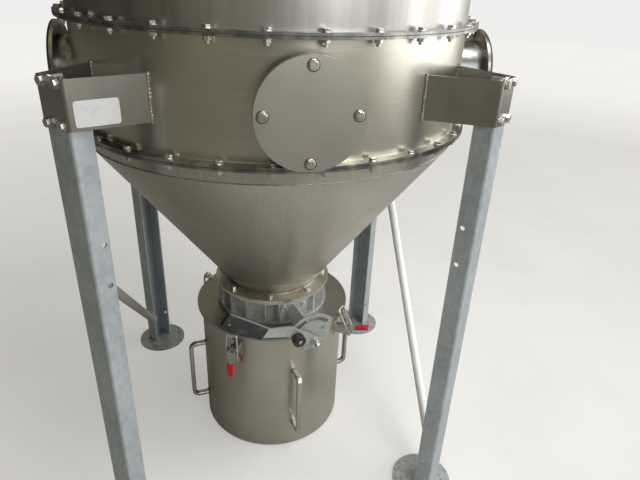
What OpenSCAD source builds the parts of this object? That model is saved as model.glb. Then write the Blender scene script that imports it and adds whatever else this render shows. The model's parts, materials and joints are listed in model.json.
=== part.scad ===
/* [Vessel] */
// Inside diameter of the round vessel
body_inner_d = 1000; // [960:5:1040]
// Thickness of the vessel's sheet
shell_t = 3; // [2:0.5:5]
// Height of the bolted joint between hopper and inlet ring
ring_z = 1081; // [1070:1:1110]
// Height of the inlet ring, between its two bolted joints
ring_h = 253; // [246:1:300]
// Height of the upper cylinder
upper_h = 620; // [500:10:900]
// Width of the bolted flanges, from the shell outwards
flange_w = 27; // [20:1:36]
// Thickness of each bolted flange
flange_t = 6; // [4:1:9]
// Height of the cover's cone
cover_rise = 70; // [40:5:120]

/* [Outlet] */
// Outside diameter of the outlet pipe through the cover
outlet_d = 250; // [180:5:300]
// Length of the outlet pipe above the cover
outlet_rise = 110; // [80:5:200]
// Length of the outlet pipe that hangs inside the vessel
outlet_drop = 330; // [150:10:420]
// Width of the outlet flange
outlet_flange_w = 40; // [34:1:60]
// Holes in the outlet flange
outlet_holes = 8; // [4:1:12]

/* [Side openings] */
// Outside diameter of each side spigot
spigot_d = 156; // [120:2:160]
// Outside diameter of the spigot flanges and of the hatch plate
spigot_flange_d = 222; // [214:1:226]
// Thickness of the spigot flanges
spigot_flange_t = 8; // [5:1:12]
// Bolt circle of the spigot flanges
spigot_pcd = 186; // [182:1:190]
// Bolt hole in the spigot flanges
spigot_hole_d = 13; // [9:0.5:14]
// Height of the side openings' middle above the hopper joint
spigot_rise = 114; // [108:1:125]
// How far the front spigot lies off the middle between the legs, towards the right
front_turn = 1.7; // [0:0.1:4]
// Distance from the shell to the face of the front and left spigots
spigot_reach = 40; // [37:1:80]
// Distance from the shell to the face of the right spigot
right_reach = 90; // [40:1:130]
// Thickness of the plate that closes the front spigot
hatch_t = 8; // [5:1:12]
// Thickness of the rubber gasket on the open spigots
spigot_gasket_t = 5; // [3:0.5:8]

/* [Hopper, valve and bin stack] */
// Height of the bin, from the floor to its rim
bin_h = 446; // [400:1:470]
// Thickness of the seal under the bin lid
seal_t = 2; // [1:0.5:4]
// Thickness of the bin lid
lid_t = 8; // [5:1:12]
// Height of the collar on the bin lid
collar_h = 7; // [5:1:12]
// Height of the valve body
valve_h = 78; // [70:1:84]
// Thickness of the flange at the hopper's mouth
mouth_flange_t = 7; // [5:1:10]
// Height of the straight neck above the hopper's mouth flange
neck_h = 4; // [3:1:30]
// Height of the hopper's straight rim, from its joint down to the cone
rim_drop = 40; // [32:1:60]
// Radius of the hopper's mouth flange
mouth_flange_r = 183; // [180:1:190]

/* [Valve] */
// Bore of the valve
valve_bore_d = 274; // [260:1:276]
// Outside radius of the valve body's rims
valve_rim_r = 178; // [176:1:180]
// Thickness of the valve body's rims
valve_rim_t = 9; // [7:1:12]
// Thickness of the wall around the bore
valve_wall = 13; // [9:1:16]
// Thickness of each stiffening rib
rib_t = 6; // [4:1:9]
// Angle between neighbouring ribs
rib_pitch = 20; // [18:1:21]
// Angle between the spindle and the first rib
rib_start = 27; // [26:1:30]
// Width of the flat pads that carry the spindle
pad_w = 94; // [84:1:100]
// Thickness of the valve disc
disc_t = 10; // [7:1:12]
// Gap around the valve disc
disc_gap = 1; // [0.5:0.1:2]
// Diameter of the spindle
spindle_d = 20; // [16:1:22]
// Radial running clearance of the spindle
running_gap = 0.05; // [0.02:0.01:0.1]
// Direction of the spindle, from the front towards the right
spindle_az = 14.2; // [5:0.1:20]

/* [Lever and sector] */
// Distance from the valve's pad to the sector plate
sector_standoff = 145; // [142:1:152]
// Thickness of the sector plate
sector_t = 4; // [3:0.5:6]
// Radius of the sector plate's arc
sector_r = 81; // [78:1:90]
// Radius of the middle of the slot
slot_r = 65; // [62:1:67]
// Width of the slot
slot_w = 13; // [10:0.5:15]
// Half width of the sector plate's lower edge
sector_half = 38; // [34:1:44]
// Height of the sector plate's lower edge below the spindle
sector_low = 35; // [30:1:40]
// How far the sector plate's sides lean outwards
sector_lean = 15.5; // [10:0.5:20]
// Outer width of the square stand-off behind the sector plate
standoff_w = 36; // [34:1:40]
// Gap between the sector plate and the lever
lever_gap = 12; // [10:1:16]
// Thickness of the lever
lever_t = 6; // [4:0.5:8]
// Width of the lever
lever_w = 32; // [28:1:38]
// Length of the lever from its pivot to the first bend
lever_arm = 98.5; // [92:0.5:110]
// Length of the lever between its two bends
lever_mid = 65.5; // [58:0.5:75]
// Length of the lever's grip
grip_len = 128; // [100:1:130]
// Direction of the lever's arm and grip, from the right over the top
lever_angle = 145; // [143:0.5:147]
// Direction of the lever between its bends
lever_mid_angle = 169.5; // [160:0.5:175]
// Thickness of the rubber grip
grip_t = 15; // [12:1:16]
// Diameter of the clamping knob
knob_d = 36; // [30:1:38]
// Length of the clamping knob
knob_len = 25; // [18:1:30]

/* [Bin] */
// Outside diameter of the bin
bin_d = 464; // [440:2:472]
// Thickness of the bin's sheet
bin_t = 2; // [1.5:0.5:3]
// Radius of the bin's bottom edge
bin_edge_r = 14; // [8:1:25]
// Width of the bin's rim
bin_rim_w = 8; // [5:1:9]
// Height of the bin's rim
bin_rim_h = 6; // [4:1:8]
// Diameter of the bin lid
lid_d = 494; // [490:1:500]
// How far the bin is turned from the front towards the right
bin_turn = 11; // [0:1:14]
// Height of the handles' lower ends
handle_z = 103; // [80:1:120]
// Distance between a handle's two ends
handle_h = 212; // [160:1:230]
// Distance from the bin to the middle of a handle's bar
handle_reach = 50; // [40:1:60]
// Diameter of a handle's bar
handle_d = 13; // [10:1:16]
// Bend radius of a handle's bar
handle_bend = 18; // [12:1:24]

/* [Latches] */
// Height of the latch handle's pivot below the bin's rim
latch_drop = 46; // [44:1:60]
// Distance from the bin to the latch handle's pivot
latch_out = 31; // [30:1:34]
// Distance from the handle's pivot to the hook's trunnion
latch_throw = 20; // [18:1:22]
// How far the trunnion lies inside the pivot's line when shut
over_centre = 3; // [2:0.5:4]
// Wire diameter of the latch hook
hook_wire_d = 6; // [4:0.5:7]
// Distance between the two legs of the latch hook
hook_w = 36; // [34:1:42]
// Width of the latch handle
latch_w = 19; // [16:1:20]
// Length of the latch handle from its pivot
latch_len = 87; // [82:1:95]
// Length of the coloured sleeve on the latch handle
sleeve_len = 46; // [38:1:48]
// Width of the coloured sleeve
sleeve_w = 26; // [21:1:28]
// Thickness of the coloured sleeve
sleeve_t = 12; // [9:1:14]
// How far each latch stands open, from front left towards the right
latch_open = [0, 105, 0, 0];
// Share of the handle's turn that tilts the hook
hook_tilt = 0.25; // [0.2:0.01:0.28]

/* [Legs] */
// Width of each leg's web
leg_w = 76; // [60:1:78]
// Depth of each leg's flanges
leg_depth = 48; // [36:1:60]
// Sheet thickness of the legs
leg_t = 5; // [3:0.5:8]
// Corner radius of the legs
leg_corner_r = 7; // [6:0.5:9]
// Distance from the shell to the legs' outer face
leg_standoff = 143; // [120:1:160]
// Diameter of each foot
foot_d = 180; // [150:5:200]
// Thickness of each foot
foot_t = 8; // [6:1:12]
// Height of each bracket
bracket_h = 97; // [80:1:120]
// Height of the brackets' top above the inlet ring's lower joint
bracket_top = 168; // [150:1:175]
// Sheet thickness of the brackets
bracket_t = 3; // [2:0.5:4]
// Half width of a bracket where it meets the shell
bracket_half_w = 85; // [70:1:95]
// Bend radius of a bracket's corners, outside
bracket_bend = 8; // [6:1:10]

/* [Braces] */
// Diameter of each brace
brace_d = 27; // [20:1:34]
// Height of a brace's lower bolt
brace_low = 110; // [100:1:160]
// Height of the right brace's upper bolt
brace_high_right = 900; // [860:5:950]
// Height of the left brace's upper bolt
brace_high_left = 800; // [700:5:820]
// How far each brace lies inside the line of its bolts
brace_inset = 10; // [0:1:14]
// Length of a brace's flattened ends
brace_tab = 60; // [56:1:70]
// Thickness of a brace's flattened ends
brace_tab_t = 6; // [4:1:8]
// Bolt hole in the braces and legs
brace_hole_d = 13; // [9:0.5:14]

/* [Hidden] */
$fn = 96;

steel = [0.66, 0.64, 0.60];
galvanised = [0.55, 0.60, 0.64];
rubber = [0.08, 0.08, 0.08];
cast = [0.72, 0.73, 0.74];
red = [0.80, 0.08, 0.10];

eps = 1;
fit = 0.3;
snug = fit / 10;

body_inner_r = body_inner_d / 2;
body_r = body_inner_r + shell_t;
flange_r = body_r + flange_w;
ring_top = ring_z + ring_h;
upper_top = ring_top + upper_h;

lid_z = bin_h + seal_t;
collar_z = lid_z + lid_t;
valve_z = collar_z + collar_h;
mouth_z = valve_z + valve_h;
neck_z = mouth_z + mouth_flange_t + neck_h;
cone_z = ring_z - rim_drop;
valve_bore_r = valve_bore_d / 2;
neck_inner_r = valve_bore_r + 2;
cone_angle = atan((body_inner_r - neck_inner_r) / (cone_z - neck_z));
cone_mitre = shell_t * tan(cone_angle / 2);

outlet_r = outlet_d / 2;
outlet_flange_r = outlet_r + outlet_flange_w;
outlet_pcd_r = outlet_r + outlet_flange_w * 0.6;
outlet_hole_d = 11;
cover_top = upper_top + flange_t + cover_rise;
cover_slope = cover_rise / (body_inner_r - outlet_r);
outlet_top = cover_top + outlet_rise;

spigot_r = spigot_d / 2;
spigot_z = ring_z + spigot_rise;
spigot_in = 14;

spindle_r = spindle_d / 2;
spindle_z = valve_z + valve_h / 2;
disc_r = valve_bore_r - disc_gap;
hub_r = spindle_r + 7;
pad_y = valve_rim_r;
pad_plate_t = 4;
pad_plate_w = 88;
pad_plate_h = 58;
sector_y = pad_y + sector_standoff;
lever_y = sector_y + sector_t + lever_gap;
pad_hole_d = 9;
pad_hole_x = 32.5;
pad_hole_z = 20;
slot_relief = 0.2;
slot_from = 53;
slot_to = 157;
knob_turn = 5;
grip_cover = 6;
grip_round = 3;
lever_tail = 20;
stud_r = 4;
stud_nut_h = 6;
stud_nut_r = 8;
knob_neck_h = 3;
knob_neck_r = knob_d / 2 - 6;
hub_end = valve_bore_r - 8;
pad_depth = 30;
rib_count = 7;
rib_sunk = 2;
spindle_end = 2;
spindle_nut_r = spindle_r + 5;
spindle_nut_h = 7;
pad_corner = 20;
standoff_turn = 39;
standoff_wall = 3;
sector_hole_r = 42;
sector_hole_turn = 44;
sector_hole_x = 6 - sector_half;
sector_hole_z = pad_hole_d - sector_low;
sector_hole_d = pad_hole_d - 2;

leg_face_r = body_r + leg_standoff;
leg_half = leg_w / 2;
foot_inset = 41;
foot_at = leg_face_r - foot_inset;
leg_top_gap = 5;
leg_top = ring_z + bracket_top - leg_top_gap;
brace_bolt_inset = 34;
brace_at = leg_face_r - brace_bolt_inset;
brace_tab_w = brace_d + 4;
splay = atan((bracket_half_w - leg_half) / leg_standoff);
leg_azimuths = [-45, 45, 135, -135];

bin_r = bin_d / 2;
lid_r = lid_d / 2;
pivot_y = bin_r + latch_out;
pivot_z = bin_h - latch_drop;
pin_r = 4;
trunnion_r = 5;
ear_t = 2.5;
latch_t = 2;
latch_outer = pivot_y + 8;
latch_side_h = 34;
latch_side_w = 20;
latch_rise = 7;
pin_end = 1.5;
sleeve_corner_r = 6;
sleeve_end = 6;
base_w = latch_w + 2 * (ear_t + fit) + 6;
base_h = 50;
base_low = 28;
base_depth = 8;
base_out = 3;
ear_r = 12;
ear_sunk = 6;
stem_w = 10;
stem_t = 4;
hook_wire_r = hook_wire_d / 2;
catch_t = 3;
catch_lip_h = 9;
catch_on_lid = 14;
hook_bend = 8;
hook_tail = 9;
trunnion_end = 3;
hook_nut_r = 5.5;
hook_nut_h = 4;
hook_gap = 0.6;
hook_top_z = collar_z + catch_t + hook_wire_r + hook_gap;
hook_len = hook_top_z - pivot_z + latch_throw;
hook_y = pivot_y - over_centre;
latch_azimuths = [bin_turn - 45, bin_turn + 45, bin_turn + 135, bin_turn - 135];

// Turns a piece modelled at the front (towards -Y) to an azimuth, from the front to the right
module at_azimuth(a) {
    rotate([0, 0, a]) children();
}

// Ring with a rectangular section
module ring(r_in, r_out, z, h) {
    translate([0, 0, z]) difference() {
        cylinder(h = h, r = r_out);
        translate([0, 0, -eps]) cylinder(h = h + 2 * eps, r = r_in);
    }
}

// Horizontal cylinder along -Y, from distance a to distance b of the axis
module radial_cylinder(r, a, b, z) {
    translate([0, -a, z]) rotate([90, 0, 0]) cylinder(h = b - a, r = r);
}

// Rectangle with round corners, centred
module round_rect(w, h, r) {
    square([w - 2 * r, h], center = true);
    square([w, h - 2 * r], center = true);
    for (x = [-1, 1], y = [-1, 1])
        translate([x * (w / 2 - r), y * (h / 2 - r)]) circle(r);
}

// Points of an arc, in degrees
function arc(cx, cy, r, from, to, n) =
    [for (i = [0:n]) let (a = from + (to - from) * i / n) [cx + r * cos(a), cy + r * sin(a)]];

module upper_shell() {
    color(steel) {
        ring(body_inner_r, body_r, ring_top, upper_h);
        ring(body_r - eps / 2, flange_r, ring_top, flange_t);
        ring(body_r - eps / 2, flange_r, upper_top - flange_t, flange_t);
    }
}

module inlet_ring() {
    color(steel) difference() {
        union() {
            ring(body_inner_r, body_r, ring_z, ring_h);
            ring(body_r - eps / 2, flange_r, ring_z, flange_t);
            ring(body_r - eps / 2, flange_r, ring_top - flange_t, flange_t);
        }
        for (a = [-90, front_turn, 90])
            at_azimuth(a) radial_cylinder(spigot_r + fit, body_inner_r / 2, body_r + flange_w, spigot_z);
    }
}

module hopper() {
    color(steel) rotate_extrude() polygon([
        [neck_inner_r, mouth_z],
        [neck_inner_r, neck_z],
        [body_inner_r, cone_z],
        [body_inner_r, ring_z],
        [flange_r, ring_z],
        [flange_r, ring_z - flange_t],
        [body_r, ring_z - flange_t],
        [body_r, cone_z - cone_mitre],
        [neck_inner_r + shell_t, neck_z - cone_mitre],
        [neck_inner_r + shell_t, mouth_z + mouth_flange_t],
        [mouth_flange_r, mouth_z + mouth_flange_t],
        [mouth_flange_r, mouth_z]]);
}

module cover() {
    hole_r = outlet_r + fit;
    apex_z = cover_slope * (outlet_r - hole_r);
    color(steel) rotate_extrude() polygon([
        [flange_r, upper_top],
        [flange_r, upper_top + flange_t],
        [body_inner_r, upper_top + flange_t],
        [hole_r, cover_top + apex_z],
        [hole_r, cover_top + apex_z - shell_t],
        [body_inner_r - shell_t, upper_top + flange_t - shell_t],
        [body_inner_r - shell_t, upper_top]]);
}

module outlet_pipe() {
    color(steel) difference() {
        union() {
            ring(outlet_r - shell_t, outlet_r, cover_top - outlet_drop, outlet_drop + outlet_rise);
            ring(outlet_r - eps / 2, outlet_flange_r, outlet_top - spigot_flange_t, spigot_flange_t);
        }
        for (i = [0:outlet_holes - 1])
            at_azimuth((i + 0.5) * 360 / outlet_holes)
                translate([0, -outlet_pcd_r, outlet_top - spigot_flange_t - eps])
                    cylinder(h = spigot_flange_t + 2 * eps, d = outlet_hole_d, $fn = 32);
    }
}

// Round plate across a radial axis, from distance a to distance b, with its four bolt holes
module bolted_disc(a, b, bore_r) {
    difference() {
        radial_cylinder(spigot_flange_d / 2, a, b, spigot_z);
        if (bore_r > 0) radial_cylinder(bore_r, a - eps, b + eps, spigot_z);
        for (i = [0:3]) rotate_about_spigot(i * 90)
            translate([spigot_pcd / 2, 0, 0]) radial_cylinder(spigot_hole_d / 2, a - eps, b + eps, spigot_z);
    }
}

// Turns a piece around the axis of a spigot at the front
module rotate_about_spigot(a) {
    translate([0, 0, spigot_z]) rotate([0, a, 0]) translate([0, 0, -spigot_z]) children();
}

// Spigot through the shell, with its flange
module spigot(reach) {
    face = body_r + reach;
    difference() {
        radial_cylinder(spigot_r, body_inner_r - spigot_in, face, spigot_z);
        radial_cylinder(spigot_r - shell_t, body_inner_r - spigot_in - eps, face + eps, spigot_z);
    }
    bolted_disc(face - spigot_flange_t, face, spigot_r - shell_t / 2);
}

module front_spigot() {
    color(steel) at_azimuth(front_turn) spigot(spigot_reach);
}

module hatch_plate() {
    face = body_r + spigot_reach;
    color(steel) at_azimuth(front_turn) bolted_disc(face, face + hatch_t, 0);
}

module left_spigot() {
    color(steel) at_azimuth(-90) spigot(spigot_reach);
}

module right_spigot() {
    color(steel) at_azimuth(90) spigot(right_reach);
}

module spigot_gaskets() {
    color(rubber) for (g = [[-90, spigot_reach], [90, right_reach]]) {
        face = body_r + g[1];
        at_azimuth(g[0]) bolted_disc(face, face + spigot_gasket_t, spigot_r);
    }
}

// Outline of a splayed bracket seen from above; inset moves it inwards
module bracket_outline(inset) {
    face = leg_face_r + bracket_t - inset;
    half = leg_half + bracket_t + fit - inset * cos(splay) + inset * (1 - sin(splay)) * tan(splay);
    bend = max(bracket_bend - inset, eps);
    tangent = bend * tan((90 - splay) / 2);
    deep = body_inner_r / 2;
    wide = half + (face - deep) * tan(splay);
    polygon([
        [-wide, -deep],
        [-half - tangent * sin(splay), -face + tangent * cos(splay)],
        [-half + tangent, -face],
        [half - tangent, -face],
        [half + tangent * sin(splay), -face + tangent * cos(splay)],
        [wide, -deep]]);
    for (s = [-1, 1]) translate([s * (half - tangent), -face + bend]) circle(bend);
}

// U-shaped bracket, welded to the shell, that holds the head of a leg
module bracket() {
    top = ring_z + bracket_top;
    color(steel) translate([0, 0, top - bracket_h]) difference() {
        linear_extrude(bracket_h) difference() {
            bracket_outline(0);
            bracket_outline(bracket_t);
        }
        translate([0, 0, -eps]) cylinder(h = bracket_h + 2 * eps, r = body_r);
    }
}

// Channel-shaped leg with its open side towards the vessel, on a round foot
module leg() {
    color(galvanised) {
        difference() {
            translate([0, -leg_face_r, foot_t]) linear_extrude(leg_top - foot_t) difference() {
                translate([0, leg_depth / 2]) {
                    round_rect(leg_w, leg_depth, leg_corner_r);
                    translate([0, leg_corner_r]) square([leg_w, leg_depth - 2 * leg_corner_r], center = true);
                }
                translate([0, leg_t + leg_depth / 2])
                    square([leg_w - 2 * leg_t, leg_depth], center = true);
            }
            for (z = [brace_low, brace_high_left, brace_high_right])
                translate([-leg_half - eps, -brace_at, z]) rotate([0, 90, 0])
                    cylinder(h = leg_w + 2 * eps, d = brace_hole_d, $fn = 32);
        }
        translate([0, -foot_at, 0]) cylinder(h = foot_t, d = foot_d);
    }
}

// Side view of a brace between the facing flanges of two legs, at the right of the vessel
module brace(low, high) {
    // Middle of the leg's facing flange, seen from above
    corner = brace_at * cos(45);
    out = corner + leg_half * sin(45);
    back = corner - leg_half * cos(45);
    reach = brace_tab_t / 2 + fit;
    start = [out + reach * sin(45), -back + reach * cos(45), low];
    finish = [out + reach * sin(45), back - reach * cos(45), high];
    inset = [-brace_inset, 0, 0];
    run = finish - start;
    length = norm(run);
    tilt = acos(run[2] / length);
    lean = atan(run[1] * cos(45) / run[2]);
    tab_in = brace_tab / 2;
    color(galvanised) {
        difference() {
            translate(start + inset) rotate([-tilt, 0, 0])
                translate([0, 0, tab_in]) cylinder(h = length - 2 * tab_in, d = brace_d, $fn = 48);
            for (e = [[start, -45], [finish, -135]])
                translate(e[0]) rotate([0, 0, e[1]])
                    translate([-2 * brace_d, -brace_tab_t / 2 - 2 * brace_d, -3 * brace_d])
                        cube([4 * brace_d, 2 * brace_d, 6 * brace_d]);
        }
        brace_end(start, -45, lean, 1);
        brace_end(finish, -135, lean, -1);
    }
}

// Flattened end of a brace, bolted to a leg's flange; s is 1 at the lower end
module brace_end(at, turn, lean, s) {
    translate(at) rotate([0, 0, turn]) difference() {
        rotate([0, -lean, 0]) translate([0, 0, s * brace_tab / 4])
            cube([brace_tab_w, brace_tab_t, brace_tab], center = true);
        rotate([90, 0, 0]) cylinder(h = 3 * brace_tab_t, d = brace_hole_d, center = true, $fn = 32);
    }
}

module brace_right() {
    brace(brace_low, brace_high_right);
}

module brace_left() {
    rotate([0, 0, 180]) brace(brace_low, brace_high_left);
}

// Ribbed ring with two flat pads, bored for the spindle
module valve_body() {
    rib_r = valve_bore_r + valve_wall;
    color(cast) at_azimuth(spindle_az) difference() {
        union() {
            ring(valve_bore_r, rib_r, valve_z, valve_h);
            ring(valve_bore_r, valve_rim_r, valve_z, valve_rim_t);
            ring(valve_bore_r, valve_rim_r, mouth_z - valve_rim_t, valve_rim_t);
            for (side = [-1, 1], i = [0:rib_count - 1])
                at_azimuth(side * (rib_start + i * rib_pitch))
                    translate([-rib_t / 2, -valve_rim_r + rib_sunk, valve_z])
                        cube([rib_t, valve_rim_r - valve_bore_r - valve_wall / 2, valve_h]);
            for (a = [0, 180]) at_azimuth(a)
                translate([-pad_w / 2, -pad_y, valve_z]) cube([pad_w, pad_y - valve_bore_r + pad_depth, valve_h]);
        }
        translate([0, 0, valve_z - eps]) cylinder(h = valve_h + 2 * eps, r = valve_bore_r);
        radial_cylinder(spindle_r + running_gap, -pad_y - eps, pad_y + eps, spindle_z);
    }
}

module valve_disc() {
    color(steel) at_azimuth(spindle_az) difference() {
        union() {
            translate([0, 0, spindle_z - disc_t / 2]) cylinder(h = disc_t, r = disc_r);
            radial_cylinder(hub_r, -hub_end, hub_end, spindle_z);
        }
        radial_cylinder(spindle_r + running_gap, -valve_bore_r, valve_bore_r, spindle_z);
    }
}

module valve_spindle() {
    color(steel) at_azimuth(spindle_az) {
        radial_cylinder(spindle_r, pad_plate_t - pad_y, lever_y + lever_t + spindle_end, spindle_z);
        radial_cylinder(spindle_nut_r, lever_y + lever_t, lever_y + lever_t + spindle_nut_h, spindle_z);
    }
}

// Draws a flat shape, seen from the front, as a plate from distance a to distance b
module front_plate(a, b) {
    translate([0, -a, spindle_z]) rotate([90, 0, 0]) linear_extrude(b - a) children();
}

// Slotted sector plate on a square stand-off, bolted to the valve's pad
module sector_bracket() {
    color(galvanised) at_azimuth(spindle_az) {
        front_plate(pad_y, pad_y + pad_plate_t) difference() {
            square([pad_plate_w, pad_plate_h], center = true);
            circle(spindle_r + spindle_end);
            translate([-pad_plate_w / 2, pad_plate_h / 2]) rotate(45) square(pad_corner, center = true);
            for (x = [-pad_hole_x, pad_hole_x]) translate([x, pad_hole_z]) circle(d = pad_hole_d, $fn = 32);
        }
        front_plate(pad_y + pad_plate_t, sector_y) rotate(standoff_turn) difference() {
            square(standoff_w, center = true);
            square(standoff_w - 2 * standoff_wall, center = true);
        }
        front_plate(sector_y, sector_y + sector_t) difference() {
            intersection() {
                circle(sector_r);
                sector_fan();
            }
            circle(spindle_r + spindle_end);
            slot();
            rotate(sector_hole_turn) translate([sector_hole_r, 0]) circle(d = pad_hole_d, $fn = 32);
            translate([sector_hole_x, sector_hole_z]) circle(d = sector_hole_d, $fn = 32);
        }
    }
}

// Fan that gives the sector plate its straight lower edge and leaning sides
module sector_fan() {
    top = sector_half + (sector_r + sector_low) * tan(sector_lean);
    polygon([[-sector_half, -sector_low], [sector_half, -sector_low], [top, sector_r], [-top, sector_r]]);
}

// Curved slot around the spindle
module slot() {
    difference() {
        circle(slot_r + slot_w / 2);
        circle(slot_r - slot_w / 2);
        far = 4 * slot_r;
        polygon(concat([[0, 0]], arc(0, 0, far, slot_to, 360 + slot_from, 6)));
    }
    for (a = [slot_from, slot_to]) rotate(a) translate([slot_r, 0]) circle(slot_w / 2 + slot_relief, $fn = 48);
}

// Middle line of the lever, from its free end at the pivot to the end of its grip
lever_dir = [cos(lever_angle), sin(lever_angle)];
lever_mid_dir = [cos(lever_mid_angle), sin(lever_mid_angle)];
lever_bend_1 = lever_arm * lever_dir;
lever_bend_2 = lever_bend_1 + lever_mid * lever_mid_dir;
lever_mitre = lever_w / 2 * tan((lever_mid_angle - lever_angle) / 2);
lever_end = lever_bend_2 + (lever_mitre + grip_len - grip_cover) * lever_dir;

function side_of(d) = [-d[1], d[0]];

// Corners of one edge of the lever; s is 1 for the lower edge and -1 for the upper one
function lever_edge(s, half) = [
    -lever_tail * lever_dir + s * half * side_of(lever_dir),
    lever_bend_1 + s * half * side_of(lever_dir) - s * lever_mitre * lever_dir,
    lever_bend_2 + s * half * side_of(lever_dir) + s * lever_mitre * lever_dir,
    lever_end + s * half * side_of(lever_dir)];

function reversed(list) = [for (i = [len(list) - 1:-1:0]) list[i]];

module lever() {
    half = lever_w / 2;
    color(galvanised) at_azimuth(spindle_az) front_plate(lever_y, lever_y + lever_t) difference() {
        polygon(concat(lever_edge(1, half), reversed(lever_edge(-1, half))));
        circle(spindle_r + running_gap);
        translate(knob_place) circle(r = stud_r + running_gap, $fn = 32);
    }
}

// The knob's stud runs in the slot, a little below the lever's middle line
knob_place = [slot_r * cos(lever_angle + knob_turn), slot_r * sin(lever_angle + knob_turn)];

// Rubber grip around the lever's end, open along the lever's upper edge
module lever_grip() {
    wall = (grip_t - lever_t) / 2;
    low = lever_w / 2 + grip_cover;
    color(rubber) at_azimuth(spindle_az) difference() {
        front_plate(lever_y - wall, lever_y + lever_t + wall)
            translate(lever_bend_2 + lever_mitre * lever_dir) rotate(lever_angle) {
                translate([0, -lever_w / 2]) square([grip_len - grip_round, lever_w / 2 + low]);
                translate([0, grip_round - lever_w / 2])
                    square([grip_len, lever_w / 2 + low - 2 * grip_round]);
                for (y = [grip_round - lever_w / 2, low - grip_round])
                    translate([grip_len - grip_round, y]) circle(grip_round, $fn = 32);
            }
        front_plate(lever_y - snug, lever_y + lever_t + snug)
            translate(lever_bend_2 - lever_w * lever_dir) rotate(lever_angle)
                translate([0, -lever_w])
                    square([lever_w + lever_mitre + grip_len - grip_cover + snug, 1.5 * lever_w + snug]);
    }
}

// Clamping knob with its stud through the slot and its nut behind the sector plate
module lever_knob() {
    front = lever_y + lever_t;
    back = sector_y - fit;
    color(rubber) at_azimuth(spindle_az) translate([knob_place[0], 0, knob_place[1]]) {
        radial_cylinder(knob_d / 2, front + knob_neck_h, front + knob_len, spindle_z);
        radial_cylinder(knob_neck_r, front, front + knob_neck_h + eps, spindle_z);
        radial_cylinder(stud_r, back - stud_nut_h, front + eps, spindle_z);
        radial_cylinder(stud_nut_r, back - stud_nut_h, back, spindle_z);
    }
}

module bin_lid() {
    color(steel) {
        ring(valve_bore_r + 2, lid_r, lid_z, lid_t);
        ring(valve_bore_r + 2, valve_rim_r, collar_z - eps / 2, collar_h + eps / 2);
    }
}

module lid_seal() {
    color(rubber) ring(bin_r - 8, bin_r + bin_rim_w, bin_h, seal_t);
}

module bin() {
    inner_r = bin_r - bin_t;
    edge_in = bin_edge_r - bin_t;
    color(steel) rotate_extrude() polygon(concat(
        [[0, 0]],
        arc(bin_r - bin_edge_r, bin_edge_r, bin_edge_r, -90, 0, 6),
        [[bin_r, bin_h - bin_rim_h],
         [bin_r + bin_rim_w, bin_h - bin_rim_h],
         [bin_r + bin_rim_w, bin_h],
         [inner_r, bin_h]],
        arc(bin_r - bin_edge_r, bin_edge_r, edge_in, 0, -90, 6),
        [[0, bin_t]]));
}

// Round bar bent into a handle, at the front of the bin
module bin_handle() {
    bar_r = handle_d / 2;
    out = bin_r + handle_reach;
    half = handle_h / 2;
    translate([0, 0, handle_z + half]) for (s = [0, 1]) mirror([0, 0, s]) {
        radial_cylinder(bar_r, bin_r - bin_t / 2, out - handle_bend, half);
        translate([0, -out + handle_bend, half - handle_bend]) rotate([90, 0, -90])
            rotate_extrude(angle = 90) translate([handle_bend, 0]) circle(bar_r, $fn = 48);
        translate([0, -out, -eps / 2]) cylinder(h = half - handle_bend + eps / 2, r = bar_r, $fn = 48);
    }
}

module bin_handles() {
    color(steel) difference() {
        for (i = [0:3]) at_azimuth(bin_turn + i * 90) bin_handle();
        translate([0, 0, -eps]) cylinder(h = bin_h, r = bin_r);
    }
}

// Base plate with two ears that carry a latch handle
module latch_base() {
    inside = bin_r - ear_sunk;
    color(steel) difference() {
        union() {
            translate([-base_w / 2, -bin_r - base_out, pivot_z - base_low])
                cube([base_w, base_depth, base_h]);
            for (s = [-1, 1]) translate([s * (latch_w / 2 + fit + ear_t / 2), 0, 0]) {
                translate([-ear_t / 2, -pivot_y, pivot_z - ear_r])
                    cube([ear_t, pivot_y - inside, 2 * ear_r]);
                translate([-ear_t / 2, -pivot_y, pivot_z]) rotate([0, 90, 0])
                    cylinder(h = ear_t, r = ear_r, $fn = 48);
            }
        }
        translate([0, 0, -eps]) cylinder(h = bin_h + 2 * eps, r = bin_r, $fn = 360);
        translate([-base_w, -pivot_y, pivot_z]) rotate([0, 90, 0])
            cylinder(h = 2 * base_w, r = pin_r + running_gap, $fn = 48);
    }
}

module latch_bases() {
    for (a = latch_azimuths) at_azimuth(a) latch_base();
}

// Tongue on the lid's edge, with a lip that keeps the hook in place
module latch_catch() {
    // Clear of the hook's two round corners
    catch_w = hook_w - hook_wire_d - hook_bend;
    lip_y = hook_y + hook_wire_r + fit;
    color(steel) translate([-catch_w / 2, -lip_y - catch_t, collar_z]) {
        cube([catch_w, lip_y + catch_t - lid_r + catch_on_lid, catch_t]);
        cube([catch_w, catch_t, catch_lip_h + catch_t]);
    }
}

module latch_catches() {
    for (a = latch_azimuths) at_azimuth(a) latch_catch();
}

// Turns a latch part around the handle's pivot, outwards and up
module opened(angle) {
    translate([0, -pivot_y, pivot_z]) rotate([-angle, 0, 0]) translate([0, pivot_y, -pivot_z]) children();
}

// Flat stem of a latch handle; extra adds a gap around it
module latch_stem(extra) {
    translate([-stem_w / 2 - extra, -latch_outer - latch_t - extra, pivot_z - latch_len + sleeve_end - extra])
        cube([stem_w + 2 * extra, stem_t + 2 * extra, latch_len - latch_side_h + 2 * extra]);
}

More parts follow.
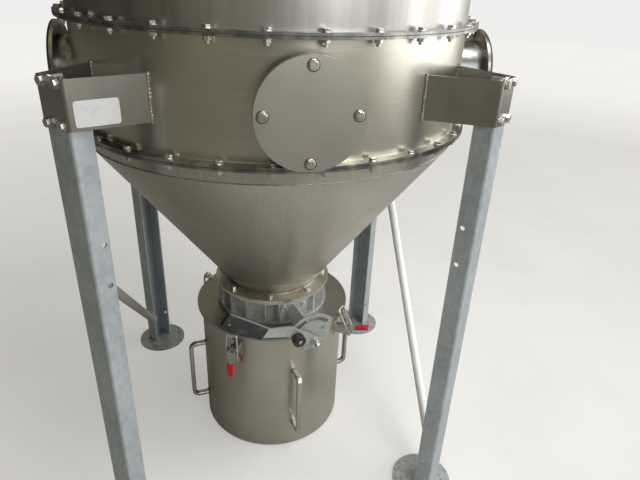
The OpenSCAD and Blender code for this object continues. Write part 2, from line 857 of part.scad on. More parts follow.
// Handle with its pivot pin, drawn shut
module latch_handle_shut() {
    outer = latch_outer;
    pin_len = latch_w + 2 * (ear_t + fit + pin_end);
    color("silver") difference() {
        union() {
            for (s = [-1, 1]) translate([s * (latch_w / 2 - latch_t / 2), 0, 0])
                translate([-latch_t / 2, -outer, pivot_z - latch_side_h])
                    cube([latch_t, latch_side_w, latch_side_h + latch_rise]);
            translate([-latch_w / 2, -outer - latch_t, pivot_z - latch_side_h])
                cube([latch_w, latch_t, latch_side_h + latch_rise]);
            latch_stem(0);
            translate([-pin_len / 2, -pivot_y, pivot_z]) rotate([0, 90, 0])
                cylinder(h = pin_len, r = pin_r, $fn = 48);
        }
        translate([-latch_w, -hook_y, pivot_z - latch_throw]) rotate([0, 90, 0])
            cylinder(h = 2 * latch_w, r = trunnion_r + running_gap, $fn = 48);
    }
}

// Coloured sleeve on a latch handle's stem, drawn shut
module latch_sleeve_shut() {
    color(red) difference() {
        translate([0, -latch_outer - latch_t + stem_t / 2, pivot_z - latch_len + sleeve_len / 2])
            rotate([90, 0, 0]) translate([0, 0, -sleeve_t / 2])
                linear_extrude(sleeve_t) round_rect(sleeve_w, sleeve_len, sleeve_corner_r);
        latch_stem(snug);
    }
}

// Bent wire hook with its trunnion and nuts, drawn shut
module latch_hook_shut() {
    arm = hook_w / 2;
    trunnion_z = pivot_z - latch_throw;
    trunnion_half = arm + hook_wire_r + trunnion_end;
    color("silver") translate([0, -hook_y, 0]) {
        translate([-trunnion_half, 0, trunnion_z]) rotate([0, 90, 0])
            cylinder(h = 2 * trunnion_half, r = trunnion_r, $fn = 48);
        for (s = [0, 1]) mirror([s, 0, 0]) {
            translate([arm, 0, trunnion_z - hook_tail])
                cylinder(h = hook_top_z - hook_bend - trunnion_z + hook_tail, r = hook_wire_r, $fn = 32);
            translate([arm - hook_bend, 0, hook_top_z - hook_bend]) rotate([90, 0, 0])
                rotate_extrude(angle = 90) translate([hook_bend, 0]) circle(hook_wire_r, $fn = 32);
            translate([-eps / 2, 0, hook_top_z]) rotate([0, 90, 0])
                cylinder(h = arm - hook_bend + eps / 2, r = hook_wire_r, $fn = 32);
            translate([arm, 0, trunnion_z - trunnion_r - trunnion_end])
                cylinder(h = hook_nut_h, r = hook_nut_r, $fn = 6);
        }
    }
}

module latch_handle(i) {
    at_azimuth(latch_azimuths[i]) opened(latch_open[i]) latch_handle_shut();
}

module latch_sleeve(i) {
    at_azimuth(latch_azimuths[i]) opened(latch_open[i]) latch_sleeve_shut();
}

// The hook moves with its trunnion, but tilts by a share of the handle's turn only
module latch_hook(i) {
    turn = latch_open[i];
    at_azimuth(latch_azimuths[i]) opened(turn)
        translate([0, -hook_y, pivot_z - latch_throw]) rotate([turn * (1 - hook_tilt), 0, 0])
            translate([0, hook_y, latch_throw - pivot_z]) latch_hook_shut();
}

upper_shell();
inlet_ring();
hopper();
cover();
outlet_pipe();
front_spigot();
hatch_plate();
left_spigot();
right_spigot();
spigot_gaskets();
at_azimuth(leg_azimuths[0]) bracket();  // bracket_front_left
at_azimuth(leg_azimuths[1]) bracket();  // bracket_front_right
at_azimuth(leg_azimuths[2]) bracket();  // bracket_rear_right
at_azimuth(leg_azimuths[3]) bracket();  // bracket_rear_left
at_azimuth(leg_azimuths[0]) leg();  // leg_front_left
at_azimuth(leg_azimuths[1]) leg();  // leg_front_right
at_azimuth(leg_azimuths[2]) leg();  // leg_rear_right
at_azimuth(leg_azimuths[3]) leg();  // leg_rear_left
brace_left();
brace_right();
valve_body();
valve_disc();
valve_spindle();
sector_bracket();
lever();
lever_grip();
lever_knob();
bin_lid();
lid_seal();
bin();
bin_handles();
latch_bases();
latch_catches();
latch_handle(0);  // latch_handle_front_left
latch_handle(1);  // latch_handle_front_right
latch_handle(2);  // latch_handle_rear_right
latch_handle(3);  // latch_handle_rear_left
latch_sleeve(0);  // latch_sleeve_front_left
latch_sleeve(1);  // latch_sleeve_front_right
latch_sleeve(2);  // latch_sleeve_rear_right
latch_sleeve(3);  // latch_sleeve_rear_left
latch_hook(0);  // latch_hook_front_left
latch_hook(1);  // latch_hook_front_right
latch_hook(2);  // latch_hook_rear_right
latch_hook(3);  // latch_hook_rear_left
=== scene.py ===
"""Looks of a cyclone dust separator: sheet-metal vessel, cone hopper, shut-off valve and clamped bin.

Each sub-assembly is a class. It keeps its own sizes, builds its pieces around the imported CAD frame
and gives each piece, and each CAD node it looks after, a finish. Sizes are in metres.
"""

import json
import logging
import math
import random
from dataclasses import dataclass, field
from enum import Enum
from typing import Any, Sequence

import bpy
from mathutils import Matrix, Vector


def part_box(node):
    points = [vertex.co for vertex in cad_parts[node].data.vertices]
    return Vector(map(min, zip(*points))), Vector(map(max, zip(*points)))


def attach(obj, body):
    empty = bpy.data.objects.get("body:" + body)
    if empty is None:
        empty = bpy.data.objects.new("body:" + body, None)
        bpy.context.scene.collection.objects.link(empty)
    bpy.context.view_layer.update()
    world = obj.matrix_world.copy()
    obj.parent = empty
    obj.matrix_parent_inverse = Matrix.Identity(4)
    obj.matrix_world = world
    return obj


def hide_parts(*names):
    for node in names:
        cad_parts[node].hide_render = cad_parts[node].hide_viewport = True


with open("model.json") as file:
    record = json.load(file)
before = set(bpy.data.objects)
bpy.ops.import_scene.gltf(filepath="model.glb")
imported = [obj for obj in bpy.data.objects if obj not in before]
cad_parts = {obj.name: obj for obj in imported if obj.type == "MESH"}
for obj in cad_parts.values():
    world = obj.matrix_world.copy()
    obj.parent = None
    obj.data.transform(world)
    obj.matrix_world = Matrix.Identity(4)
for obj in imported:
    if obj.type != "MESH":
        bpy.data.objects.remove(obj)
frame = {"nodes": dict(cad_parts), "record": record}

Piece = bpy.types.Object
Material = bpy.types.Material
Socket = bpy.types.NodeSocket
Triple = tuple[float, float, float]

LOG = logging.getLogger("separator")
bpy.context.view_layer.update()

VESSEL = "vessel"
ROTOR = "valve_rotor"
CORNERS = ("front_left", "front_right", "rear_right", "rear_left")
UP = Vector((0, 0, 1))
FRONT = Vector((0, -1, 0))

# Shift that keeps the faces of two neighbouring pieces from lying in one plane
INSET = 0.001

# Distance from the vessel's axis from which a point belongs to a flange
FLANGE_FROM = 0.5055


class Axis(Enum):
    """Direction in which a sheet's grain runs."""

    UPRIGHT = "upright"
    ROUND = "round"
    SLOPE = "slope"


# Bench tools


def clear_selection() -> None:
    """Deselects every object, so that an operator acts on the new piece alone."""
    bpy.ops.object.select_all(action="DESELECT")


def pick(obj: Piece) -> None:
    """Makes one object the only selected and the active one.

    Args:
        obj: The object.
    """
    clear_selection()
    obj.select_set(True)
    bpy.context.view_layer.objects.active = obj


def settle(obj: Piece) -> Piece:
    """Moves an object's place into its mesh, so that the object sits at the origin.

    Args:
        obj: The object.

    Returns:
        The same object.
    """
    pick(obj)
    bpy.ops.object.transform_apply(location=True, rotation=True, scale=True)
    return obj


def at_azimuth(obj: Piece, azimuth: float) -> Piece:
    """Turns a settled piece from the front towards the right.

    Args:
        obj: A piece whose object sits at the origin.
        azimuth: Angle in degrees from the front, -Y, towards +X.

    Returns:
        The same piece.
    """
    obj.data.transform(Matrix.Rotation(math.radians(azimuth), 4, "Z"))
    return obj


def polar(radius: float, azimuth: float, height: float) -> Vector:
    """Gives the point at a radius, an azimuth in degrees and a height around the vessel's axis."""
    angle = math.radians(azimuth)
    return Vector((radius * math.sin(angle), -radius * math.cos(angle), height))


def joined(pieces: Sequence[Piece], name: str) -> Piece:
    """Joins pieces into one and names it.

    Args:
        pieces: One or more mesh objects.
        name: The joined piece's name.

    Returns:
        The joined piece, at the origin.
    """
    clear_selection()
    for piece in pieces:
        piece.select_set(True)
    bpy.context.view_layer.objects.active = pieces[0]
    if len(pieces) > 1:
        bpy.ops.object.join()
    whole = bpy.context.view_layer.objects.active
    whole.name = name
    whole.data.name = name
    return settle(whole)


def applied_bevel(obj: Piece, width: float, segments: int = 2) -> Piece:
    """Rounds a piece's sharp edges.

    Args:
        obj: The piece.
        width: Width of the rounding in metres.
        segments: Number of faces across it.

    Returns:
        The same piece, with the rounding in its mesh.
    """
    pick(obj)
    bevel = obj.modifiers.new("edge", "BEVEL")
    bevel.width = width
    bevel.segments = segments
    bevel.limit_method = "ANGLE"
    bevel.angle_limit = math.radians(35)
    bpy.ops.object.modifier_apply(modifier=bevel.name)
    return obj


def smooth(obj: Piece, angle: float = 35.0) -> Piece:
    """Shades a piece smooth, except over its sharp edges.

    Args:
        obj: The piece.
        angle: Angle in degrees from which an edge is sharp.

    Returns:
        The same piece.
    """
    pick(obj)
    bpy.ops.object.shade_smooth_by_angle(angle=math.radians(angle))
    return obj


def prism(sides: int, radius: float, depth: float, place: Vector, direction: Vector) -> Piece:
    """Adds a prism or cylinder with its base at a place.

    Args:
        sides: Number of sides.
        radius: Radius of its corners in metres.
        depth: Its length in metres.
        place: Centre of its base.
        direction: The way in which it stands.

    Returns:
        The new piece.
    """
    clear_selection()
    way = direction.normalized()
    bpy.ops.mesh.primitive_cylinder_add(
        vertices=sides, radius=radius, depth=depth, location=place + way * depth / 2
    )
    made = bpy.context.active_object
    made.rotation_mode = "QUATERNION"
    made.rotation_quaternion = UP.rotation_difference(way)
    return settle(made)


@dataclass(frozen=True)
class Turned:
    """Washer, nut, cap or pin head: a prism or cylinder with rounded edges."""

    sides: int
    radius: float
    depth: float
    edge: float
    segments: int = 1

    def at(self, place: Vector, direction: Vector) -> Piece:
        """Adds the part.

        Args:
            place: Centre of its base.
            direction: The way in which it stands.

        Returns:
            The new piece.
        """
        body = prism(self.sides, self.radius, self.depth, place, direction)
        return applied_bevel(body, self.edge, self.segments)


def ring_bead(radius: float, width: float, place: Vector, direction: Vector, ripples: int) -> Piece:
    """Adds a round weld bead with a rippled surface.

    Args:
        radius: Radius of the bead's middle line in metres.
        width: Thickness of the bead.
        place: Centre of the ring.
        direction: The ring's axis.
        ripples: Number of ripples around it.

    Returns:
        The new piece.
    """
    clear_selection()
    bpy.ops.mesh.primitive_torus_add(
        major_segments=min(ripples * 3, 420),
        minor_segments=6,
        major_radius=radius,
        minor_radius=width / 2,
    )
    bead = bpy.context.active_object
    for vertex in bead.data.vertices:
        angle = math.atan2(vertex.co.y, vertex.co.x)
        swell = 1 + 0.22 * math.sin(angle * ripples) + 0.12 * math.sin(angle * 7.3 + 1)
        middle = Vector((math.cos(angle) * radius, math.sin(angle) * radius, 0))
        vertex.co = middle + (vertex.co - middle) * swell
    turn = UP.rotation_difference(direction.normalized())
    bead.data.transform(Matrix.Translation(place) @ turn.to_matrix().to_4x4())
    return smooth(bead, 80)


def new_run(name: str, points: Sequence[Sequence[float]], dimensions: str = "3D") -> Piece:
    """Adds a curve with straight stretches between points.

    Args:
        name: The curve's name.
        points: Its points.
        dimensions: "3D", or "2D" for a section that another curve carries along.

    Returns:
        The new curve object.
    """
    run = bpy.data.curves.new(name, "CURVE")
    run.dimensions = dimensions
    run.use_fill_caps = dimensions == "3D"
    spline = run.splines.new("POLY")
    spline.points.add(len(points) - 1)
    for point, place in zip(spline.points, points):
        point.co = (*place, 1)
    curve = bpy.data.objects.new(name, run)
    bpy.context.collection.objects.link(curve)
    return curve


def meshed(curve: Piece, angle: float) -> Piece:
    """Makes a curve a mesh and shades it smooth.

    Args:
        curve: The curve object.
        angle: Angle in degrees from which an edge is sharp.

    Returns:
        The new piece.
    """
    pick(curve)
    bpy.ops.object.convert(target="MESH")
    return smooth(bpy.context.active_object, angle)


def line_bead(points: Sequence[Vector], width: float) -> Piece:
    """Adds a weld bead along a line of points.

    Args:
        points: The points that the bead follows.
        width: Thickness of the bead in metres.

    Returns:
        The new piece, with a ripple every few millimetres.
    """
    step = 0.0025
    dense: list[Vector] = []
    for start, end in zip(points, points[1:]):
        count = max(1, round((end - start).length / step))
        dense += [start.lerp(end, i / count) for i in range(count)]
    dense.append(points[-1])
    bead = new_run("bead", dense)
    bead.data.bevel_depth = width / 2
    bead.data.bevel_resolution = 1
    for index, point in enumerate(bead.data.splines[0].points):
        point.radius = 1 + 0.2 * math.sin(index * 2.1) + 0.1 * math.sin(index * 0.37)
    return meshed(bead, 80)


def bent_bar(points: Sequence[Vector], width: float, depth: float, corner: float) -> Piece:
    """Adds a flat bar with round edges, bent along points in an upright plane through the vessel's axis.

    Args:
        points: The bar's middle line.
        width: Its width across that plane, in metres.
        depth: Its thickness in the plane.
        corner: Radius of its edges.

    Returns:
        The new piece.
    """
    outline = []
    for side, up in ((1, 1), (-1, 1), (-1, -1), (1, -1)):
        start = math.atan2(up, side) - math.pi / 4
        for step in range(5):
            angle = start + step * math.pi / 8
            across = side * (width / 2 - corner) + corner * math.cos(angle)
            along = up * (depth / 2 - corner) + corner * math.sin(angle)
            outline.append((across, along, 0))
    section = new_run("section", outline, "2D")
    section.data.splines[0].use_cyclic_u = True
    bar = new_run("bar", points)
    bar.data.bevel_mode = "OBJECT"
    bar.data.bevel_object = section
    bar = meshed(bar, 40)
    bpy.data.objects.remove(section)
    return bar


# Finishes


class Sheet:
    """Node graph of one material, with short methods for the nodes that the finishes use."""

    def __init__(self, name: str) -> None:
        """Makes an empty material with a shader and an output.

        Args:
            name: The material's name.
        """
        self.material = bpy.data.materials.new(name)
        self.material.use_nodes = True
        self.tree = self.material.node_tree
        self.shader = self.tree.nodes["Principled BSDF"]
        self.place = self.tree.nodes.new("ShaderNodeTexCoord").outputs["Object"]

    def link(self, source: Socket, target: Socket) -> None:
        """Joins two sockets, the source first."""
        self.tree.links.new(source, target)

    def stretched(self, scale: Sequence[float], source: Socket | None = None) -> Socket:
        """Scales the coordinates along each axis.

        Args:
            scale: Factor along x, y and z.
            source: Coordinates to scale; the object's own by default.

        Returns:
            The scaled coordinates.
        """
        node = self.tree.nodes.new("ShaderNodeMapping")
        node.inputs["Scale"].default_value = tuple(scale)
        self.link(source or self.place, node.inputs["Vector"])
        return node.outputs["Vector"]

    def math(self, operation: str, first: object, second: object = 0.5) -> Socket:
        """Adds a Math node.

        Args:
            operation: The node's operation.
            first: A socket or a number.
            second: A socket or a number.

        Returns:
            The result.
        """
        node = self.tree.nodes.new("ShaderNodeMath")
        node.operation = operation
        for slot, value in zip(node.inputs, (first, second)):
            if isinstance(value, Socket):
                self.link(value, slot)
            else:
                slot.default_value = value
        return node.outputs["Value"]

    def unrolled(self, radius: float) -> Socket:
        """Gives coordinates on a shell laid flat: arc length, nothing, height.

        Args:
            radius: Radius at which the arc length is true.

        Returns:
            The flat coordinates.
        """
        apart = self.tree.nodes.new("ShaderNodeSeparateXYZ")
        self.link(self.place, apart.inputs["Vector"])
        angle = self.math("ARCTAN2", apart.outputs["X"], self.math("MULTIPLY", apart.outputs["Y"], -1))
        together = self.tree.nodes.new("ShaderNodeCombineXYZ")
        self.link(self.math("MULTIPLY", angle, radius), together.inputs["X"])
        self.link(apart.outputs["Z"], together.inputs["Z"])
        return together.outputs["Vector"]

    def noise(self, where: Socket, scale: float, detail: float = 3, rough: float = 0.5) -> Socket:
        """Adds a noise pattern.

        Args:
            where: Coordinates.
            scale: Size of the pattern.
            detail: Number of finer layers.
            rough: Share of each finer layer.

        Returns:
            The pattern's value.
        """
        node = self.tree.nodes.new("ShaderNodeTexNoise")
        node.inputs["Scale"].default_value = scale
        node.inputs["Detail"].default_value = detail
        node.inputs["Roughness"].default_value = rough
        self.link(where, node.inputs["Vector"])
        return node.outputs["Fac"]

    def cells(self, where: Socket, scale: float) -> Socket:
        """Adds a cell pattern.

        Args:
            where: Coordinates.
            scale: Size of the pattern.

        Returns:
            Each cell's own colour.
        """
        node = self.tree.nodes.new("ShaderNodeTexVoronoi")
        node.inputs["Scale"].default_value = scale
        self.link(where, node.inputs["Vector"])
        return node.outputs["Color"]

    def band(
        self, value: Socket, low: float, high: float, to_low: float = 0.0, to_high: float = 1.0
    ) -> Socket:
        """Maps a range of a value to another range, clamped.

        Args:
            value: The value.
            low: Start of its range.
            high: End of its range.
            to_low: Result at the start.
            to_high: Result at the end.

        Returns:
            The mapped value.
        """
        node = self.tree.nodes.new("ShaderNodeMapRange")
        node.interpolation_type = "SMOOTHSTEP"
        for name, number in (
            ("From Min", low), ("From Max", high), ("To Min", to_low), ("To Max", to_high),
        ):
            node.inputs[name].default_value = number
        self.link(value, node.inputs["Value"])
        return node.outputs["Result"]

    def mixed(self, amount: Socket, first: object, second: object) -> Socket:
        """Mixes two colours.

        Args:
            amount: 0 gives the first colour and 1 the second.
            first: A socket or a colour.
            second: A socket or a colour.

        Returns:
            The mixed colour.
        """
        node = self.tree.nodes.new("ShaderNodeMix")
        node.data_type = "RGBA"
        self.link(amount, node.inputs[0])
        for slot, value in ((node.inputs[6], first), (node.inputs[7], second)):
            if isinstance(value, Socket):
                self.link(value, slot)
            else:
                slot.default_value = (*value, 1)
        return node.outputs[2]

    def reach(self) -> Socket:
        """Measures each point's distance from the vessel's axis.

        Returns:
            The distance in metres.
        """
        flat = self.tree.nodes.new("ShaderNodeVectorMath")
        flat.operation = "LENGTH"
        self.link(self.stretched((1, 1, 0)), flat.inputs[0])
        return flat.outputs["Value"]

    def height(self) -> Socket:
        """Measures each point's height above the floor.

        Returns:
            The height in metres.
        """
        apart = self.tree.nodes.new("ShaderNodeSeparateXYZ")
        self.link(self.place, apart.inputs["Vector"])
        return apart.outputs["Z"]

    def bump(self, value: Socket, strength: float, distance: float) -> None:
        """Raises the surface by a pattern.

        Args:
            value: The pattern.
            strength: Share of the effect.
            distance: Height in metres.
        """
        node = self.tree.nodes.new("ShaderNodeBump")
        node.inputs["Strength"].default_value = strength
        node.inputs["Distance"].default_value = distance
        if self.shader.inputs["Normal"].is_linked:
            self.link(self.shader.inputs["Normal"].links[0].from_socket, node.inputs["Normal"])
        self.link(value, node.inputs["Height"])
        self.link(node.outputs["Normal"], self.shader.inputs["Normal"])

    def base(self, colour: Socket) -> None:
        """Sets the base colour."""
        self.link(colour, self.shader.inputs["Base Color"])

    def gloss(self, roughness: object, metallic: float) -> None:
        """Sets how the surface shines.

        Args:
            roughness: A socket or a number.
            metallic: How metallic the surface is, from 0 to 1.
        """
        if isinstance(roughness, Socket):
            self.link(roughness, self.shader.inputs["Roughness"])
        else:
            self.shader.inputs["Roughness"].default_value = roughness
        self.shader.inputs["Metallic"].default_value = metallic


@dataclass(frozen=True)
class Finish:
    """A finish with its material's name."""

    name: str

    def make(self) -> Material:
        """Builds the material."""
        raise NotImplementedError


@dataclass(frozen=True)
class StainlessFinish(Finish):
    """Brushed stainless sheet, handled and a little dusty."""

    colour: Triple = (0.60, 0.575, 0.53)
    smear: Triple = (0.47, 0.45, 0.41)
    grain: Axis = Axis.UPRIGHT
    radius: float = 0.5
    roughness: float = 0.34
    scratches: float = 0.5
    scuffs: float = 0.0
    flange_from: float = 0.0
    flange: Triple = (0.20, 0.205, 0.205)
    scuff: Triple = (0.10, 0.095, 0.085)
    cloudy: float = 0.25
    # Share of painted reflection: dark upright stripes put into the base colour
    painted_reflection: float = 0.0

    def make(self) -> Material:
        """Builds the material: grain, smears, broad upright stripes of painted reflection, scratches,
        scuffs and duller flanges.

        Returns:
            The material.
        """
        sheet = Sheet(self.name)
        flat = sheet.unrolled(self.radius)
        scales = {
            Axis.UPRIGHT: (900, 1, 9),
            Axis.ROUND: (8, 1, 900),
            Axis.SLOPE: (520, 1, 14),
        }
        grain = sheet.noise(sheet.stretched(scales[self.grain], flat), 1.0, 4, 0.62)
        broad = sheet.noise(sheet.place, 3.1, 4, 0.55)
        patchy = sheet.noise(sheet.place, 17.0, 5, 0.6)
        along = (6, 1, 260) if self.grain == Axis.ROUND else (260, 1, 5)
        lines = sheet.noise(sheet.stretched(along, flat), 1.0, 2)
        clouded = sheet.mixed(sheet.band(broad, 0.36, 0.68), self.smear, self.colour)
        smears_and_reflection = sheet.mixed(sheet.band(patchy, 0.55, 0.78, 0, 0.2), clouded, self.smear)
        # Painted reflection: broad upright stripes, darkened towards 45 per cent of the smear colour, stand
        # in for the dark surroundings mirrored in the sheet
        if self.painted_reflection > 0:
            reflection_bands = sheet.noise(sheet.stretched((11, 1, 0.4), flat), 1.0, 3, 0.6)
            dark = tuple(c * 0.45 for c in self.smear)
            smears_and_reflection = sheet.mixed(sheet.band(reflection_bands, 0.42, 0.66, 0, self.painted_reflection), smears_and_reflection, dark)
        bright = tuple(min(1.0, c * 1.18) for c in self.colour)
        streaked = sheet.mixed(sheet.band(lines, 0.56, 0.74, 0, self.scratches), smears_and_reflection, bright)
        grained = sheet.mixed(sheet.band(grain, 0.35, 0.70, 0, 0.28), streaked, self.smear)
        if self.scuffs > 0:
            dashes = sheet.noise(sheet.stretched((34, 1, 190), flat), 1.0, 3, 0.7)
            zone = sheet.band(sheet.noise(sheet.place, 5.3, 2), 0.50, 0.60)
            marks = sheet.math("MULTIPLY", sheet.band(dashes, 0.665, 0.70, 0, self.scuffs), zone)
            grained = sheet.mixed(marks, grained, self.scuff)
        if self.flange_from > 0:
            rim = sheet.band(sheet.reach(), self.flange_from, self.flange_from + 0.002)
            worn = sheet.mixed(sheet.band(patchy, 0.40, 0.70), self.flange, self.smear)
            grained = sheet.mixed(rim, grained, worn)
        sheet.base(grained)
        sheet.gloss(sheet.band(patchy, 0.3, 0.8, self.roughness - 0.005, self.roughness + 0.03), 1.0)
        sheet.bump(grain, 0.10, 0.0004)
        sheet.bump(broad, self.cloudy, 0.004)
        return sheet.material


@dataclass(frozen=True)
class GalvanisedFinish(Finish):
    """Galvanised steel with spangle, scuffs and rust near the floor."""

    colour: Triple = (0.38, 0.42, 0.44)
    pale: Triple = (0.62, 0.67, 0.70)
    rust: Triple = (0.20, 0.10, 0.055)
    rust_height: float = 0.025
    metal: float = 0.4

    def make(self) -> Material:
        """Builds the material: zinc spangle, pale scuffs and rust low down.

        Returns:
            The material.
        """
        sheet = Sheet(self.name)
        spangle = sheet.cells(sheet.stretched((1, 1, 0.7)), 85)
        cloud = sheet.noise(sheet.place, 6.0, 4)
        scuff = sheet.noise(sheet.stretched((30, 30, 7)), 1.0, 5, 0.65)
        grey = sheet.tree.nodes.new("ShaderNodeRGBToBW")
        sheet.link(spangle, grey.inputs["Color"])
        tone = sheet.mixed(sheet.band(grey.outputs["Val"], 0.1, 0.9, 0, 0.3), self.colour, self.pale)
        tone = sheet.mixed(sheet.band(cloud, 0.45, 0.75, 0, 0.35), tone, self.pale)
        tone = sheet.mixed(sheet.band(scuff, 0.66, 0.74, 0, 0.45), tone, self.pale)
        low = sheet.band(sheet.height(), 0.004, self.rust_height, 1.0, 0.0)
        spots = sheet.band(sheet.noise(sheet.place, 60, 5, 0.7), 0.50, 0.68, 0, 0.8)
        tone = sheet.mixed(sheet.math("MULTIPLY", low, spots), tone, self.rust)
        sheet.base(tone)
        sheet.gloss(sheet.band(scuff, 0.3, 0.7, 0.36, 0.54), self.metal)
        sheet.bump(scuff, 0.12, 0.0006)
        return sheet.material


@dataclass(frozen=True)
class CastFinish(Finish):
    """Satin cast light alloy with a fine skin."""

    colour: Triple = (0.64, 0.65, 0.64)
    grime: Triple = (0.30, 0.30, 0.28)

    def make(self) -> Material:
        """Builds the material: cast skin with grime in patches.

        Returns:
            The material.
        """
        sheet = Sheet(self.name)
        skin = sheet.noise(sheet.place, 420, 3, 0.6)
        grime = sheet.noise(sheet.place, 24, 4, 0.6)
        sheet.base(sheet.mixed(sheet.band(grime, 0.42, 0.72, 0, 0.7), self.colour, self.grime))
        sheet.gloss(sheet.band(grime, 0.3, 0.7, 0.36, 0.56), 0.7)
        sheet.bump(skin, 0.3, 0.0004)
        return sheet.material


@dataclass(frozen=True)
class PlatedFinish(Finish):
    """Zinc-plated or polished small steel parts."""

    colour: Triple = (0.62, 0.61, 0.58)
    dull: Triple = (0.36, 0.35, 0.33)
    rust: float = 0.0
    rust_colour: Triple = (0.25, 0.12, 0.055)

    def make(self) -> Material:
        """Builds the material: dulled patches and, if asked, rust specks.

        Returns:
            The material.
        """
        sheet = Sheet(self.name)
        patch = sheet.noise(sheet.place, 90, 4, 0.6)
        fine = sheet.noise(sheet.place, 700, 2)
        tone = sheet.mixed(sheet.band(patch, 0.45, 0.72, 0, 0.6), self.colour, self.dull)
        if self.rust > 0:
            specks = sheet.band(sheet.noise(sheet.place, 130, 5, 0.7), 0.50, 0.64, 0, self.rust)
            tone = sheet.mixed(specks, tone, self.rust_colour)
        sheet.base(tone)
        sheet.gloss(sheet.band(patch, 0.3, 0.7, 0.22, 0.42), 1.0)
        sheet.bump(fine, 0.1, 0.0002)
        return sheet.material


@dataclass(frozen=True)
class MouldedFinish(Finish):
    """Rubber or plastic with a moulded skin and dust."""

    colour: Triple
    dust: Triple = (0.16, 0.155, 0.14)
    dusty: float = 0.5
    roughness: float = 0.6

    def make(self) -> Material:
        """Builds the material: moulded skin with dust lying in patches.

        Returns:
            The material.
        """
        sheet = Sheet(self.name)
        skin = sheet.noise(sheet.place, 300, 3, 0.6)
        dust = sheet.noise(sheet.place, 45, 5, 0.65)
        sheet.base(sheet.mixed(sheet.band(dust, 0.48, 0.75, 0, self.dusty), self.colour, self.dust))
        sheet.gloss(sheet.band(dust, 0.3, 0.7, self.roughness - 0.08, self.roughness + 0.12), 0.0)
        sheet.bump(skin, 0.2, 0.0003)
        return sheet.material


@dataclass(frozen=True)
class WeldFinish(Finish):
    """Weld bead with straw and blue heat tint."""

    straw: Triple = (0.50, 0.45, 0.36)
    blue: Triple = (0.33, 0.32, 0.33)

    def make(self) -> Material:
        """Builds the material: bright bead with heat tint in patches.

        Returns:
            The material.
        """
        sheet = Sheet(self.name)
        tint = sheet.noise(sheet.place, 55, 3, 0.6)
        sheet.base(sheet.mixed(sheet.band(tint, 0.35, 0.6), self.straw, self.blue))
        sheet.gloss(0.4, 1.0)
        sheet.bump(tint, 0.2, 0.0005)
        return sheet.material


@dataclass(frozen=True)
class FloorFinish(Finish):
    """Plain pale studio floor."""

    colour: Triple = (0.46, 0.455, 0.44)
    worn: Triple = (0.42, 0.415, 0.40)
    glow: tuple[float, float] = (0.36, 0.76)
    glow_tint: Triple = (1.0, 0.99, 0.975)
    glow_reach: tuple[float, float] = (0.8, 8.0)

    def make(self) -> Material:
        """Builds the material: a faintly cloudy floor that the camera sees paler further out.

        Returns:
            The material.
        """
        sheet = Sheet(self.name)
        cloud = sheet.noise(sheet.place, 1.6, 5, 0.6)
        sheet.base(sheet.mixed(sheet.band(cloud, 0.35, 0.7), self.colour, self.worn))
        sheet.gloss(0.85, 0.0)
        far = sheet.band(sheet.reach(), *self.glow_reach, *self.glow)
        seen = sheet.tree.nodes.new("ShaderNodeLightPath").outputs["Is Camera Ray"]
        sheet.link(sheet.math("MULTIPLY", far, seen), sheet.shader.inputs["Emission Strength"])
        sheet.shader.inputs["Emission Color"].default_value = (*self.glow_tint, 1)
        return sheet.material


def made(finish: Finish) -> Material:
    """Declares a finish whose material is built along with its set."""
    return field(default_factory=finish.make)


